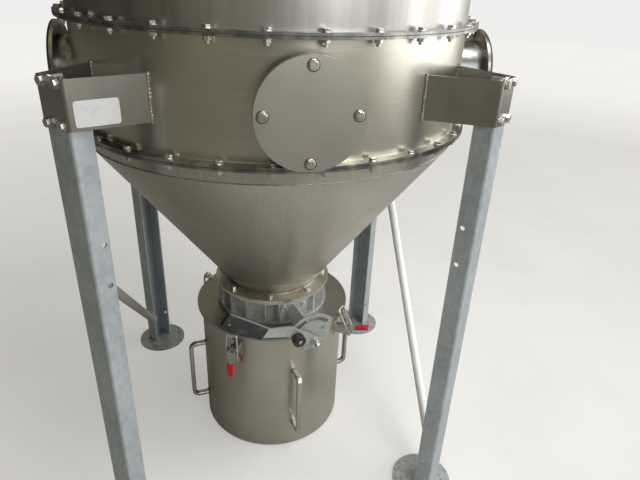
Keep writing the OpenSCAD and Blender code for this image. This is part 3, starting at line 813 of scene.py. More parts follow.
@dataclass
class Finishes:
    """All finishes of the separator, each built once."""

    # The shell's base colour carries broad dark upright stripes of painted reflection
    shell: Material = made(StainlessFinish(
        "shell_stainless", (0.54, 0.525, 0.49), (0.49, 0.475, 0.44), roughness=0.36, scratches=0.45,
        flange_from=FLANGE_FROM, cloudy=0.1, painted_reflection=0.55,
    ))
    ring: Material = made(StainlessFinish(
        "ring_stainless", (0.69, 0.655, 0.58), (0.60, 0.565, 0.48), Axis.ROUND, roughness=0.31, scuffs=0.45,
        flange_from=FLANGE_FROM,
    ))
    bracket: Material = made(StainlessFinish(
        "bracket_stainless", (0.46, 0.435, 0.39), (0.34, 0.32, 0.28), Axis.ROUND,
        roughness=0.33, scratches=0.3,
    ))
    cone: Material = made(StainlessFinish(
        "cone_stainless", (0.70, 0.67, 0.595), (0.57, 0.54, 0.47), Axis.SLOPE, radius=0.35, roughness=0.35,
        scratches=0.7, scuffs=0.8, flange_from=FLANGE_FROM,
    ))
    bin: Material = made(StainlessFinish(
        "bin_stainless", (0.63, 0.60, 0.53), (0.51, 0.48, 0.415), Axis.ROUND, radius=0.23, roughness=0.32,
        scratches=0.3,
    ))
    bar: Material = made(StainlessFinish(
        "bar_stainless", (0.60, 0.59, 0.56), (0.47, 0.46, 0.43), radius=0.28, roughness=0.30, scratches=0.2,
    ))
    plate: Material = made(StainlessFinish(
        "plate_stainless", (0.50, 0.48, 0.43), (0.45, 0.43, 0.38), Axis.ROUND,
        roughness=0.42, scratches=0.25, scuffs=0.4,
    ))
    lid: Material = made(StainlessFinish(
        "lid_stainless", (0.44, 0.435, 0.42), (0.36, 0.355, 0.34), Axis.ROUND,
        roughness=0.44, scratches=0.15,
    ))
    galvanised: Material = made(GalvanisedFinish("galvanised_steel"))
    pale_tube: Material = made(GalvanisedFinish(
        "pale_tube", (0.70, 0.72, 0.70), (0.88, 0.90, 0.88), metal=0.1,
    ))
    grey_tube: Material = made(GalvanisedFinish(
        "grey_tube", (0.42, 0.42, 0.40), (0.52, 0.52, 0.50), metal=0.1,
    ))
    zinc: Material = made(GalvanisedFinish("zinc_plate", (0.40, 0.42, 0.41), (0.64, 0.66, 0.65)))
    cast: Material = made(CastFinish("cast_alloy"))
    plated: Material = made(PlatedFinish("plated_steel"))
    bolts: Material = made(PlatedFinish("bolt_steel", (0.70, 0.69, 0.66), (0.25, 0.24, 0.22), rust=0.2))
    washer: Material = made(PlatedFinish(
        "rusty_washer", (0.20, 0.12, 0.07), (0.10, 0.065, 0.045), rust=0.8,
    ))
    rubber: Material = made(MouldedFinish("black_rubber", (0.022, 0.022, 0.024)))
    black: Material = made(MouldedFinish("black_plastic", (0.018, 0.018, 0.02), dusty=0.3, roughness=0.42))
    red: Material = made(MouldedFinish(
        "red_dip", (0.62, 0.020, 0.040), (0.42, 0.09, 0.09), dusty=0.35, roughness=0.33,
    ))
    weld: Material = made(WeldFinish("weld"))
    label: Material = made(MouldedFinish(
        "blank_label", (0.64, 0.65, 0.65), (0.46, 0.46, 0.44), dusty=0.4, roughness=0.45,
    ))


def dress(node: str, material: Material) -> None:
    """Gives a CAD node a finish.

    Args:
        node: The node's name.
        material: Its material.
    """
    data = frame["nodes"][node].data
    if not data.materials:
        data.materials.append(material)
    for index in range(len(data.materials)):
        data.materials[index] = material


def fitted(piece: Piece, name: str, body: str, material: Material) -> Piece:
    """Finishes a new piece: name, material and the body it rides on.

    Args:
        piece: The new piece.
        name: Its name.
        body: The CAD body it moves with.
        material: Its material.

    Returns:
        The same piece.
    """
    settle(piece)
    piece.name = name
    piece.data.name = name
    piece.data.materials.clear()
    piece.data.materials.append(material)
    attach(piece, body)
    LOG.info("%s: %d faces on %s", name, len(piece.data.polygons), body)
    return piece


# Fasteners


@dataclass
class HexScrew:
    """Hexagon head with its washer, screwed into what lies below.

    corner_r, head_t, washer_r and edge are shares of the thread's diameter.
    """

    thread: float = 0.010
    corner_r: float = 0.98
    head_t: float = 0.62
    washer_r: float = 1.12
    washer_t: float = 0.0016
    washer_edge: float = 0.0004
    edge: float = 0.08

    def hexagon(self, height: float, base: Vector, way: Vector, spin: float) -> Piece:
        """Models a head or a nut.

        Args:
            height: Its height, as a share of the thread.
            base: Middle of its base.
            way: The way in which it stands.
            spin: Its turn in degrees.

        Returns:
            The hexagon with rounded edges.
        """
        piece = prism(6, self.thread * self.corner_r, self.thread * height, base, way)
        turn = Matrix.Rotation(math.radians(spin), 4, way)
        piece.data.transform(Matrix.Translation(base) @ turn @ Matrix.Translation(-base))
        return applied_bevel(piece, self.thread * self.edge)

    def washer(self, base: Vector, way: Vector) -> Piece:
        """Models the washer under a head or a nut."""
        return Turned(20, self.thread * self.washer_r, self.washer_t, self.washer_edge).at(base, way)

    def build(self, place: Vector, direction: Vector, spin: float = 0.0) -> Piece:
        """Models the screw's head.

        Args:
            place: Middle of the plate's face.
            direction: The way in which the head stands out.
            spin: Turn of the head in degrees.

        Returns:
            Head and washer in one piece.
        """
        way = direction.normalized()
        head = self.hexagon(self.head_t, place + way * self.washer_t, way, spin)
        return joined([head, self.washer(place, way)], "screw")


@dataclass
class HexBolt(HexScrew):
    """Hexagon bolt with its washer and, behind the plates, its washer and nut.

    nut_t is a share of the thread's diameter.
    """

    grip: float = 0.012
    tail: float = 0.006
    nut_t: float = 0.75
    end_edge: float = 0.0008

    def build(self, place: Vector, direction: Vector, spin: float = 0.0) -> Piece:
        """Models the bolt.

        Args:
            place: Middle of the outer plate's face.
            direction: The way in which the head stands out.
            spin: Turn of the head in degrees.

        Returns:
            Head, washers, nut and the end of the thread in one piece.
        """
        way = direction.normalized()
        under = place - way * self.grip
        head = self.hexagon(self.head_t, place + way * self.washer_t, way, spin)
        nut = self.hexagon(self.nut_t, under - way * self.washer_t, -way, -spin)
        washers = [self.washer(place, way), self.washer(under, -way)]
        length = self.thread * self.nut_t + self.washer_t + self.tail
        end = Turned(14, self.thread / 2, length, self.end_edge).at(under, -way)
        return joined([head, nut, *washers, end], "bolt")


def bolt_circle(bolt: HexBolt, count: int, radius: float, start: float, height: float, name: str) -> Piece:
    """Sets upright bolts on a circle around the vessel's axis.

    Args:
        bolt: The bolt.
        count: Number of bolts.
        radius: Radius of the bolt circle.
        start: Azimuth of the first bolt in degrees.
        height: Height of the upper plate's face.
        name: Name of the whole.

    Returns:
        All bolts in one piece, each head with a turn of its own.
    """
    dice = random.Random(count * 100 + round(height * 1000))
    bolts = [
        bolt.build(polar(radius, start + i * 360 / count, height), UP, dice.uniform(0, 60))
        for i in range(count)
    ]
    return joined(bolts, name)


# Sub-assemblies


def joint_of(name: str) -> dict[str, Any]:
    """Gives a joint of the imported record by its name."""
    return next(joint for joint in frame["record"]["behaviour"]["joints"] if joint["name"] == name)


def latch_rest(corner: str, opened: bool = True) -> Matrix:
    """Gives the place of a latch, for pieces modelled around its pivot at the front, shut.

    Args:
        corner: The latch's corner.
        opened: Whether the piece turns with a handle that stands open at rest.

    Returns:
        The turn and shift from the front to the latch.
    """
    joint = joint_of(f"latch_open_{corner}")
    pivot = Vector(joint["pos_m"])
    azimuth = math.atan2(pivot.x, -pivot.y)
    swing = math.radians(joint["range_deg"][0]) if opened else 0.0
    return Matrix.Translation(pivot) @ Matrix.Rotation(azimuth, 4, "Z") @ Matrix.Rotation(swing, 4, "X")


@dataclass
class Vessel:
    """Upper cylinder, cover, outlet, inlet ring and cone hopper with their bolted joints."""

    finishes: Finishes
    shell_r: float = 0.503
    flange_r: float = 0.530
    flange_t: float = 0.006
    bolt_r: float = 0.5175
    bolt_count: int = 30
    bolt_starts: tuple[float, ...] = (5.9, 4.9, 4.9)
    bolt_thread: float = 0.009
    seal_half: float = 0.0008
    seal_sunk: float = 0.0002
    seam_width: float = 0.0035
    seam_gap: float = 0.008
    shell_seam_azimuth: float = 168.0
    ring_seam_azimuth: float = 180.0
    neck_weld: tuple[float, float] = (0.144, 0.005)
    neck_weld_rise: float = 0.0085
    cone_seam: tuple[float, float] = (0.1807, 0.003)
    cone_seam_z: float = 0.600
    rim_bead: float = 0.003
    rim_z: float = 1.0405
    ripples: int = 160

    def build(self) -> None:
        """Dresses the shells and adds their bolts, seals and welds."""
        self.dress_shells()
        self.add_bolts()
        self.add_joint_seals()
        self.add_seams()

    def dress_shells(self) -> None:
        """Gives each shell its finish."""
        for node in ("upper_shell", "cover", "outlet_pipe"):
            dress(node, self.finishes.shell)
        dress("inlet_ring", self.finishes.ring)
        dress("hopper", self.finishes.cone)

    def joint_heights(self) -> dict[str, float]:
        """Finds the height of each bolted joint between two shells.

        Returns:
            The heights in metres, by the joint's name.
        """
        return {
            "hopper_joint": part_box("inlet_ring")[0][2],
            "ring_joint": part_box("inlet_ring")[1][2],
            "cover_joint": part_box("upper_shell")[1][2],
        }

    def add_bolts(self) -> None:
        """Adds the bolts of each joint."""
        bolt = HexBolt(thread=self.bolt_thread, grip=2 * self.flange_t)
        for (name, height), start in zip(self.joint_heights().items(), self.bolt_starts):
            ring = bolt_circle(bolt, self.bolt_count, self.bolt_r, start, height + self.flange_t, name)
            fitted(ring, f"{name}_bolts", VESSEL, self.finishes.bolts)

    def add_joint_seals(self) -> None:
        """Adds the thin dark seal that shows at the edge of each joint."""
        for name, height in self.joint_heights().items():
            clear_selection()
            bpy.ops.mesh.primitive_torus_add(
                major_segments=160, minor_segments=6, major_radius=self.flange_r - self.seal_sunk,
                minor_radius=self.seal_half, location=(0, 0, height),
            )
            seal = smooth(bpy.context.active_object)
            fitted(seal, f"{name}_seal", VESSEL, self.finishes.rubber)

    def add_seams(self) -> None:
        """Adds the shells' upright seams, the hopper's two round welds and the bead under its rim."""
        low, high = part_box("upper_shell")[0][2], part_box("upper_shell")[1][2]
        ring_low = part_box("inlet_ring")[0][2]
        seams = []
        for azimuth, start, end in (
            (self.shell_seam_azimuth, low, high),
            (self.ring_seam_azimuth, ring_low, low),
        ):
            line = [polar(self.shell_r, azimuth, z) for z in (start + self.seam_gap, end - self.seam_gap)]
            seams.append(line_bead(line, self.seam_width))
        for radius, width, height in (
            (*self.neck_weld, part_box("hopper")[0][2] + self.neck_weld_rise),
            (*self.cone_seam, self.cone_seam_z),
            (self.shell_r, self.rim_bead, self.rim_z),
        ):
            seams.append(ring_bead(radius, width, UP * height, UP, self.ripples))
        fitted(joined(seams, "shell_welds"), "shell_welds", VESSEL, self.finishes.weld)


@dataclass
class Ports:
    """Front plate and the two side spigots."""

    finishes: Finishes
    height: float = 1.195
    front_turn: float = 1.7
    front_face: float = 0.551
    plates: float = 0.016
    shell_r: float = 0.503
    spigot_r: float = 0.078
    pattern_r: float = 0.093
    bolt_thread: float = 0.0095
    washer: Turned = Turned(28, 0.0124, 0.0009, 0.0003)
    weld_width: float = 0.006
    weld_gap: float = 0.001
    weld_steps: int = 96

    def build(self) -> None:
        """Dresses the ports, and adds the front plate's bolts and the welds."""
        for node in ("front_spigot", "left_spigot", "right_spigot"):
            dress(node, self.finishes.ring)
        dress("hatch_plate", self.finishes.plate)
        dress("spigot_gaskets", self.finishes.rubber)
        self.add_plate_bolts()
        self.add_welds()

    def add_plate_bolts(self) -> None:
        """Adds the front plate's four bolts, each on a wide rusty washer."""
        bolt = HexBolt(thread=self.bolt_thread, grip=self.plates)
        bolts, washers = [], []
        for quarter in range(4):
            angle = math.radians(quarter * 90)
            side, rise = self.pattern_r * math.sin(angle), self.pattern_r * math.cos(angle)
            place = Vector((side, -self.front_face, self.height + rise))
            bolts.append(bolt.build(place, FRONT, 17.0 * quarter))
            washers.append(self.washer.at(place, FRONT))
        for name, pieces, material in (
            ("front_plate_bolts", bolts, self.finishes.bolts),
            ("front_plate_washers", washers, self.finishes.washer),
        ):
            fitted(at_azimuth(joined(pieces, name), self.front_turn), name, VESSEL, material)

    def spigot_line(self) -> list[Vector]:
        """Works out the line in which the front spigot meets the shell.

        Returns:
            The line's points, from the top round to the top again.
        """
        reach = self.spigot_r + self.weld_gap
        line = []
        for i in range(self.weld_steps + 1):
            angle = 2 * math.pi * i / self.weld_steps
            side = reach * math.sin(angle)
            depth = math.sqrt(self.shell_r**2 - side**2)
            line.append(Vector((side, -depth, self.height + reach * math.cos(angle))))
        return line

    def add_welds(self) -> None:
        """Adds the weld around each spigot, where it meets the shell."""
        beads = [
            at_azimuth(line_bead(self.spigot_line(), self.weld_width), azimuth)
            for azimuth in (-90, self.front_turn, 90)
        ]
        fitted(joined(beads, "spigot_welds"), "spigot_welds", VESSEL, self.finishes.weld)


@dataclass
class Stand:
    """Brackets, legs, feet and braces."""

    finishes: Finishes
    azimuths: tuple[float, ...] = (-45, 45, 135, -135)
    face_r: float = 0.649
    bolt_rows: tuple[float, ...] = (1.240, 1.161)
    bolt_side: float = 0.022
    bolt_grip: float = 0.008
    label_size: tuple[float, float] = (0.085, 0.050)
    label_place: tuple[float, float] = (0.056, 1.1835)
    label_corner: float = 0.006
    label_t: float = 0.0006
    label_gap: float = 0.0002
    label_from: float = 0.0033
    leg_half: float = 0.038
    leg_r: float = 0.646
    shell_r: float = 0.503
    wall_half: float = 0.085
    wall_weld: float = 0.0075
    wall_weld_out: tuple[float, float] = (0.005, 0.001)
    wall_weld_past: tuple[float, float] = (0.004, 0.003)
    brace_hole_r: float = 0.612
    brace_face: float = 0.0443
    brace_thread: float = 0.011
    brace_grip: float = 0.0113
    brace_ends: tuple[tuple[float, int, float], ...] = (
        (45, 1, 0.110), (135, -1, 0.900), (-135, 1, 0.110), (-45, -1, 0.800),
    )
    foot_top: float = 0.009
    foot_half: float = 0.0385
    foot_span: tuple[float, float] = (0.598, 0.6465)
    foot_corner: float = 0.006
    foot_weld: float = 0.005

    def build(self) -> None:
        """Dresses the stand and adds its bolts, welds and label."""
        for corner in CORNERS:
            dress(f"bracket_{corner}", self.finishes.bracket)
            dress(f"leg_{corner}", self.finishes.galvanised)
        dress("brace_left", self.finishes.grey_tube)
        dress("brace_right", self.finishes.pale_tube)
        self.add_bracket_bolts()
        self.add_bracket_welds()
        self.add_label()
        self.add_brace_bolts()
        self.add_foot_welds()

    def add_bracket_bolts(self) -> None:
        """Adds the four bolts that hold each leg's head in its bracket."""
        bolt = HexBolt(grip=self.bolt_grip)
        for corner, azimuth in zip(CORNERS, self.azimuths):
            bolts = []
            for height in self.bolt_rows:
                for side in (-1, 1):
                    place = Vector((side * self.bolt_side, -self.face_r, height))
                    bolts.append(bolt.build(place, FRONT, 23 * side + 90 * height))
            piece = at_azimuth(joined(bolts, "bolts"), azimuth)
            fitted(piece, f"bracket_bolts_{corner}", VESSEL, self.finishes.bolts)

    def wall_angle(self) -> float:
        """Gives the splay of the brackets' walls, in radians."""
        return math.atan2(self.wall_half - self.leg_half, self.leg_r - self.shell_r)

    def add_bracket_welds(self) -> None:
        """Adds the weld along each bracket wall where it meets the shell."""
        low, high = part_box("bracket_front_left")[0][2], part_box("bracket_front_left")[1][2]
        depth = math.sqrt(self.shell_r**2 - self.wall_half**2)
        aside, ahead = self.wall_weld_out
        below, above = self.wall_weld_past
        for corner, azimuth in zip(CORNERS, self.azimuths):
            beads = []
            for side in (-1, 1):
                foot = Vector((side * (self.wall_half + aside), -depth - ahead, 0))
                line = [foot + UP * (low - below), foot + UP * (high + above)]
                beads.append(line_bead(line, self.wall_weld))
            piece = at_azimuth(joined(beads, "beads"), azimuth)
            fitted(piece, f"bracket_weld_{corner}", VESSEL, self.finishes.weld)

    def label_sheet(self) -> Piece:
        """Models the label as a thin sheet with round corners.

        Returns:
            The sheet, flat, with its middle at the origin.
        """
        clear_selection()
        bpy.ops.mesh.primitive_plane_add(size=1)
        label = bpy.context.active_object
        label.scale = (*self.label_size, 1)
        settle(label)
        bpy.ops.object.mode_set(mode="EDIT")
        bpy.ops.mesh.select_all(action="SELECT")
        bpy.ops.mesh.bevel(offset=self.label_corner, segments=4, affect="VERTICES")
        bpy.ops.mesh.extrude_region_move(TRANSFORM_OT_translate={"value": (0, 0, self.label_t)})
        bpy.ops.mesh.select_all(action="SELECT")
        bpy.ops.mesh.normals_make_consistent(inside=False)
        bpy.ops.object.mode_set(mode="OBJECT")
        return label

    def add_label(self) -> None:
        """Adds the blank label on the left bracket's front wall."""
        label = self.label_sheet()
        splay = self.wall_angle()
        along = Vector((math.sin(splay), math.cos(splay), 0))
        out = Vector((math.cos(splay), -math.sin(splay), 0))
        start = Vector((self.leg_half + self.label_from, -self.face_r, 0))
        centre = start + along * self.label_place[0] + UP * self.label_place[1]
        turn = Matrix((along, UP, out)).transposed().to_4x4()
        label.data.transform(Matrix.Translation(centre + out * self.label_gap) @ turn)
        at_azimuth(label, self.azimuths[0])
        fitted(label, "blank_label", VESSEL, self.finishes.label)

    def add_brace_bolts(self) -> None:
        """Adds the bolt at each end of both braces."""
        bolt = HexBolt(thread=self.brace_thread, grip=self.brace_grip)
        bolts = []
        for azimuth, side, height in self.brace_ends:
            place = Vector((side * self.brace_face, -self.brace_hole_r, height))
            bolts.append(at_azimuth(bolt.build(place, Vector((side, 0, 0)), 40 * height), azimuth))
        fitted(joined(bolts, "brace_bolts"), "brace_bolts", VESSEL, self.finishes.bolts)

    def foot_line(self) -> list[Vector]:
        """Works out the line in which the front leg's channel meets its foot.

        Returns:
            The line's points, from one open end of the channel to the other.
        """
        inner, outer = self.foot_span
        half, corner = self.foot_half, self.foot_corner
        flat = (
            (-half, -inner), (-half, corner - outer), (corner - half, -outer),
            (half - corner, -outer), (half, corner - outer), (half, -inner),
        )
        return [Vector((x, y, self.foot_top)) for x, y in flat]

    def add_foot_welds(self) -> None:
        """Adds the weld between each leg and its foot."""
        for corner, azimuth in zip(CORNERS, self.azimuths):
            piece = at_azimuth(line_bead(self.foot_line(), self.foot_weld), azimuth)
            fitted(piece, f"foot_weld_{corner}", VESSEL, self.finishes.weld)


@dataclass
class Valve:
    """Ribbed valve body with its spindle, sector plate and lever."""

    finishes: Finishes
    azimuth: float = 14.2
    pad_r: float = 0.182
    pad_bolt: tuple[float, float] = (0.0325, 0.020)
    pad_thread: float = 0.008
    mouth_t: float = 0.007
    mouth_bolt_r: float = 0.160
    mouth_bolt_start: float = -9.0
    mouth_bolts: int = 8
    lever_back: float = 0.339
    lever_t: float = 0.006
    lever_angle: float = 145.0
    mid_angle: float = 169.5
    arm: float = 0.0985
    mid: float = 0.0655
    width: float = 0.032
    grip: float = 0.128
    grip_cover: float = 0.006
    grip_edge: float = 0.0016
    pad: float = 0.0045
    nut_gap: float = 0.007
    nut_washer: Turned = Turned(32, 0.0125, 0.0018, 0.0005)
    nut: Turned = Turned(6, 0.0095, 0.007, 0.0008, 2)
    nut_dome: tuple[float, float] = (0.0076, 0.0085)
    slot_r: float = 0.065
    knob_turn: float = 5.0
    knob_r: float = 0.018
    knob_len: float = 0.025
    knob_gap: float = 0.004
    knob_edge: float = 0.003
    knob_neck: Turned = Turned(32, 0.011, 0.0045, 0.0006)
    flutes: int = 8
    flute_depth: float = 0.07
    cap: Turned = Turned(6, 0.0055, 0.003, 0.0005)
    stud_r: float = 0.004
    stud_in: float = 0.0283
    stud_out: float = 0.002
    stud_nut: Turned = Turned(6, 0.0075, 0.006, 0.0006)
    rivet: Turned = Turned(16, 0.0022, 0.0007, 0.0003)
    rivet_place: tuple[float, float] = (0.115, 0.010)

    def build(self) -> None:
        """Dresses the valve and its lever, and adds screws, grip and knob."""
        self.dress_nodes()
        self.add_mouth_screws()
        self.add_pad_screws()
        self.add_spindle_nut()
        self.add_grip()
        self.add_knob()
        self.add_stud()

    def dress_nodes(self) -> None:
        """Gives the CAD nodes of the valve their finishes."""
        dress("valve_body", self.finishes.cast)
        dress("valve_disc", self.finishes.plate)
        dress("valve_spindle", self.finishes.plated)
        dress("sector_bracket", self.finishes.zinc)
        dress("lever", self.finishes.zinc)

    def axis_height(self) -> float:
        """Gives the spindle's height."""
        return joint_of("valve_turn")["pos_m"][2]

    def lever_face(self) -> float:
        """Gives the distance from the vessel's axis to the lever's outer face."""
        return self.lever_back + self.lever_t

    def along(self, angle: float) -> Vector:
        """Gives the direction of an angle on the lever's face, from the right over the top."""
        turn = math.radians(angle)
        return Vector((math.cos(turn), 0, math.sin(turn)))

    def add_mouth_screws(self) -> None:
        """Adds the screws that hold the hopper's mouth flange on the valve."""
        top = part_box("valve_body")[1][2] + self.mouth_t
        screws = []
        for i in range(self.mouth_bolts):
            azimuth = self.mouth_bolt_start + i * 360 / self.mouth_bolts
            screws.append(HexScrew().build(polar(self.mouth_bolt_r, azimuth, top), UP, 31.0 * i))
        fitted(joined(screws, "mouth_screws"), "mouth_screws", VESSEL, self.finishes.bolts)

    def add_pad_screws(self) -> None:
        """Adds the two screws of the sector plate's stand-off."""
        side, rise = self.pad_bolt
        screw = HexScrew(thread=self.pad_thread)
        screws = [
            screw.build(Vector((x, -self.pad_r, self.axis_height() + rise)), FRONT, 300 * x + 11)
            for x in (-side, side)
        ]
        piece = at_azimuth(joined(screws, "screws"), self.azimuth)
        fitted(piece, "pad_screws", VESSEL, self.finishes.bolts)

    def add_spindle_nut(self) -> None:
        """Adds the domed nut and washer at the end of the spindle."""
        place = Vector((0, -self.lever_face() - self.nut_gap, self.axis_height()))
        washer = self.nut_washer.at(place, FRONT)
        nut = self.nut.at(place + FRONT * self.nut_washer.depth, FRONT)
        radius, out = self.nut_dome
        clear_selection()
        bpy.ops.mesh.primitive_uv_sphere_add(
            segments=24, ring_count=12, radius=radius, location=place + FRONT * out
        )
        piece = at_azimuth(joined([washer, nut, smooth(bpy.context.active_object)], "nut"), self.azimuth)
        fitted(piece, "spindle_nut", ROTOR, self.finishes.bolts)

    def grip_block(self, size: Sequence[float], place: Sequence[float]) -> Piece:
        """Models one wall of the grip, in the grip's own frame.

        Args:
            size: Length along the lever, thickness and width.
            place: Its middle, from the start of the grip on the lever's middle line.

        Returns:
            The wall, with round edges.
        """
        clear_selection()
        bpy.ops.mesh.primitive_cube_add(size=1)
        block = bpy.context.active_object
        block.scale = size
        settle(block)
        applied_bevel(block, self.grip_edge, 3)
        block.data.transform(Matrix.Translation(place))
        return block

    def add_grip(self) -> None:
        """Adds the rubber grip: two cheeks, a lower edge and a closed end around the lever's plate."""
        half = self.width / 2
        tall = self.width + self.grip_cover
        middle = half - tall / 2
        thick = self.lever_t + 2 * self.pad - INSET
        length, cover = self.grip, self.grip_cover
        gap = (self.lever_t + self.pad) / 2
        walls = [
            self.grip_block((length, self.pad, tall), (length / 2, side * gap, middle)) for side in (-1, 1)
        ]
        walls.append(self.grip_block((length, thick, cover), (length / 2, 0, -half - cover / 2)))
        walls.append(self.grip_block((cover, thick, tall - INSET), (length - cover / 2, 0, middle)))
        whole = joined(walls, "grip")
        mitre = half * math.tan(math.radians((self.mid_angle - self.lever_angle) / 2))
        start = self.along(self.lever_angle) * (self.arm + mitre) + self.along(self.mid_angle) * self.mid
        place = start + Vector((0, -self.lever_back - self.lever_t / 2, self.axis_height()))
        flip = Matrix.Rotation(-math.radians(self.lever_angle), 4, "Y") @ Matrix.Scale(-1, 4, UP)
        whole.data.transform(Matrix.Translation(place) @ flip)
        whole.data.flip_normals()
        piece = at_azimuth(smooth(whole), self.azimuth)
        fitted(piece, "rubber_grip", ROTOR, self.finishes.rubber)
        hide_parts("lever_grip")

    def knob_base(self) -> Vector:
        """Finds where the knob's axis meets the lever's outer face.

        Returns:
            The point, for a valve that looks to the front.
        """
        turn = self.along(self.lever_angle + self.knob_turn) * self.slot_r
        return turn + Vector((0, -self.lever_face(), self.axis_height()))

    def add_knob(self) -> None:
        """Adds the clamping knob with a fluted rim and a neck."""
        base = self.knob_base()
        body = prism(48, self.knob_r, self.knob_len - self.knob_gap, base + FRONT * self.knob_gap, FRONT)
        for vertex in body.data.vertices:
            offset = vertex.co - base
            angle = math.atan2(offset.z, offset.x)
            flute = 1 - self.flute_depth * max(0.0, math.cos(angle * self.flutes)) ** 2
            vertex.co.x = base.x + offset.x * flute
            vertex.co.z = base.z + offset.z * flute
        applied_bevel(body, self.knob_edge, 3)
        neck = self.knob_neck.at(base, FRONT)
        piece = at_azimuth(smooth(joined([body, neck], "knob")), self.azimuth)
        fitted(piece, "clamp_knob", ROTOR, self.finishes.black)
        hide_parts("lever_knob")

    def add_stud(self) -> None:
        """Adds the knob's cap, its stud and nut behind the sector plate, and the grip's rivet."""
        base = self.knob_base()
        cap = self.cap.at(base + FRONT * (self.knob_len - INSET), FRONT)
        inner = base - FRONT * self.stud_in
        stud = prism(20, self.stud_r, self.stud_in + self.stud_out, inner, FRONT)
        nut = self.stud_nut.at(inner, FRONT)
        out, rise = self.rivet_place
        place = self.along(self.lever_angle) * (self.arm + out) + self.along(self.mid_angle) * self.mid
        place += self.along(self.lever_angle + 90) * rise
        place += Vector((0, -self.lever_face() - self.pad, self.axis_height()))
        piece = at_azimuth(joined([cap, stud, nut, self.rivet.at(place, FRONT)], "stud"), self.azimuth)
        fitted(piece, "clamp_stud", ROTOR, self.finishes.plated)


@dataclass
class Bin:
    """Collecting bin with lid, handles and toggle latches."""

    finishes: Finishes
    turn: float = 11.0
    wall_r: float = 0.232
    handle_ends: tuple[float, float] = (0.103, 0.315)
    reach: float = 0.050
    bend: float = 0.018
    bar: Triple = (0.0185, 0.0130, 0.0045)
    handle_weld: float = 0.004
    handle_weld_out: float = 0.0008
    handle_weld_past: float = 0.0012
    sleeve: Triple = (0.026, 0.012, 0.046)
    sleeve_drop: float = 0.064
    sleeve_out: float = 0.008
    sleeve_edge: float = 0.0055
    sleeve_taper: float = 0.08
    pin_head: Turned = Turned(16, 0.0058, 0.002, 0.0007)
    pin_half: float = 0.0122

    def build(self) -> None:
        """Dresses the bin and adds its sleeves, pin heads, handles and welds."""
        self.dress_nodes()
        self.add_sleeves()
        self.add_pin_heads()
        self.add_handles()
        self.add_handle_welds()

    def dress_nodes(self) -> None:
        """Gives the CAD nodes of the bin their finishes."""
        dress("bin", self.finishes.bin)
        dress("bin_lid", self.finishes.lid)
        dress("lid_seal", self.finishes.rubber)
        for node in ("latch_bases", "latch_catches"):
            dress(node, self.finishes.plated)
        for corner in CORNERS:
            dress(f"latch_handle_{corner}", self.finishes.plated)
            dress(f"latch_hook_{corner}", self.finishes.plated)

    def add_sleeves(self) -> None:
        """Adds the soft dipped sleeve on each latch handle."""
        for corner in CORNERS:
            clear_selection()
            bpy.ops.mesh.primitive_cube_add(size=1)
            sleeve = bpy.context.active_object
            sleeve.scale = self.sleeve
            settle(sleeve)
            applied_bevel(sleeve, self.sleeve_edge, 4)
            for vertex in sleeve.data.vertices:
                swell = math.sin(vertex.co.z * math.pi / self.sleeve[2])
                vertex.co.x *= 1 - self.sleeve_taper * (1 - swell)
            drop = Vector((0, -self.sleeve_out, -self.sleeve_drop))
            sleeve.data.transform(latch_rest(corner) @ Matrix.Translation(drop))
            smooth(sleeve, 60)
            body = f"latch_handle_{corner}"
            fitted(sleeve, f"dipped_sleeve_{corner}", body, self.finishes.red)
            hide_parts(f"latch_sleeve_{corner}")

    def add_pin_heads(self) -> None:
        """Adds the two heads of each latch's pin, outside its base."""
        for corner in CORNERS:
            ways = (Vector((-1, 0, 0)), Vector((1, 0, 0)))
            heads = [self.pin_head.at(way * self.pin_half, way) for way in ways]
            piece = joined(heads, "heads")
            piece.data.transform(latch_rest(corner, opened=False))
            fitted(piece, f"pin_heads_{corner}", VESSEL, self.finishes.plated)

    def handle_line(self) -> list[Vector]:
        """Works out the middle line of the front handle.

        Returns:
            The line's points, from its lower end round both bends to its upper end.
        """
        out = self.wall_r + self.reach
        low, high = self.handle_ends
        root = -self.wall_r + INSET
        turns = [math.radians(10 * step) for step in range(10)]
        near = [self.bend * (1 - math.sin(turn)) for turn in turns]
        far = [self.bend * (1 - math.cos(turn)) for turn in turns]
        flat = [(root, low)]
        flat += [(y - out, low + z) for y, z in zip(near, far)]
        flat += [(y - out, high - z) for y, z in zip(far, near)]
        flat.append((root, high))
        return [Vector((0, y, z)) for y, z in flat]

    def add_handles(self) -> None:
        """Adds the four handles of flattened bar, each bent at its two corners."""
        line = self.handle_line()
        handles = [at_azimuth(bent_bar(line, *self.bar), self.turn + 90 * quarter) for quarter in range(4)]
        piece = joined(handles, "handles")
        fitted(piece, "bar_handles", VESSEL, self.finishes.bar)
        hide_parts("bin_handles")

    def add_handle_welds(self) -> None:
        """Adds the weld around each end of the bin's handles."""
        width, depth, _ = self.bar
        flatten = Matrix.Scale(width / depth, 4, Vector((1, 0, 0)))
        for quarter in range(4):
            beads = []
            for height in self.handle_ends:
                place = Vector((0, -self.wall_r - self.handle_weld_out, height))
                reach = depth / 2 + self.handle_weld_past
                beads.append(ring_bead(reach, self.handle_weld, place, FRONT, 12))
                beads[-1].data.transform(flatten)
            piece = at_azimuth(joined(beads, "beads"), self.turn + 90 * quarter)
            fitted(piece, f"handle_welds_{quarter}", VESSEL, self.finishes.weld)


# Studio


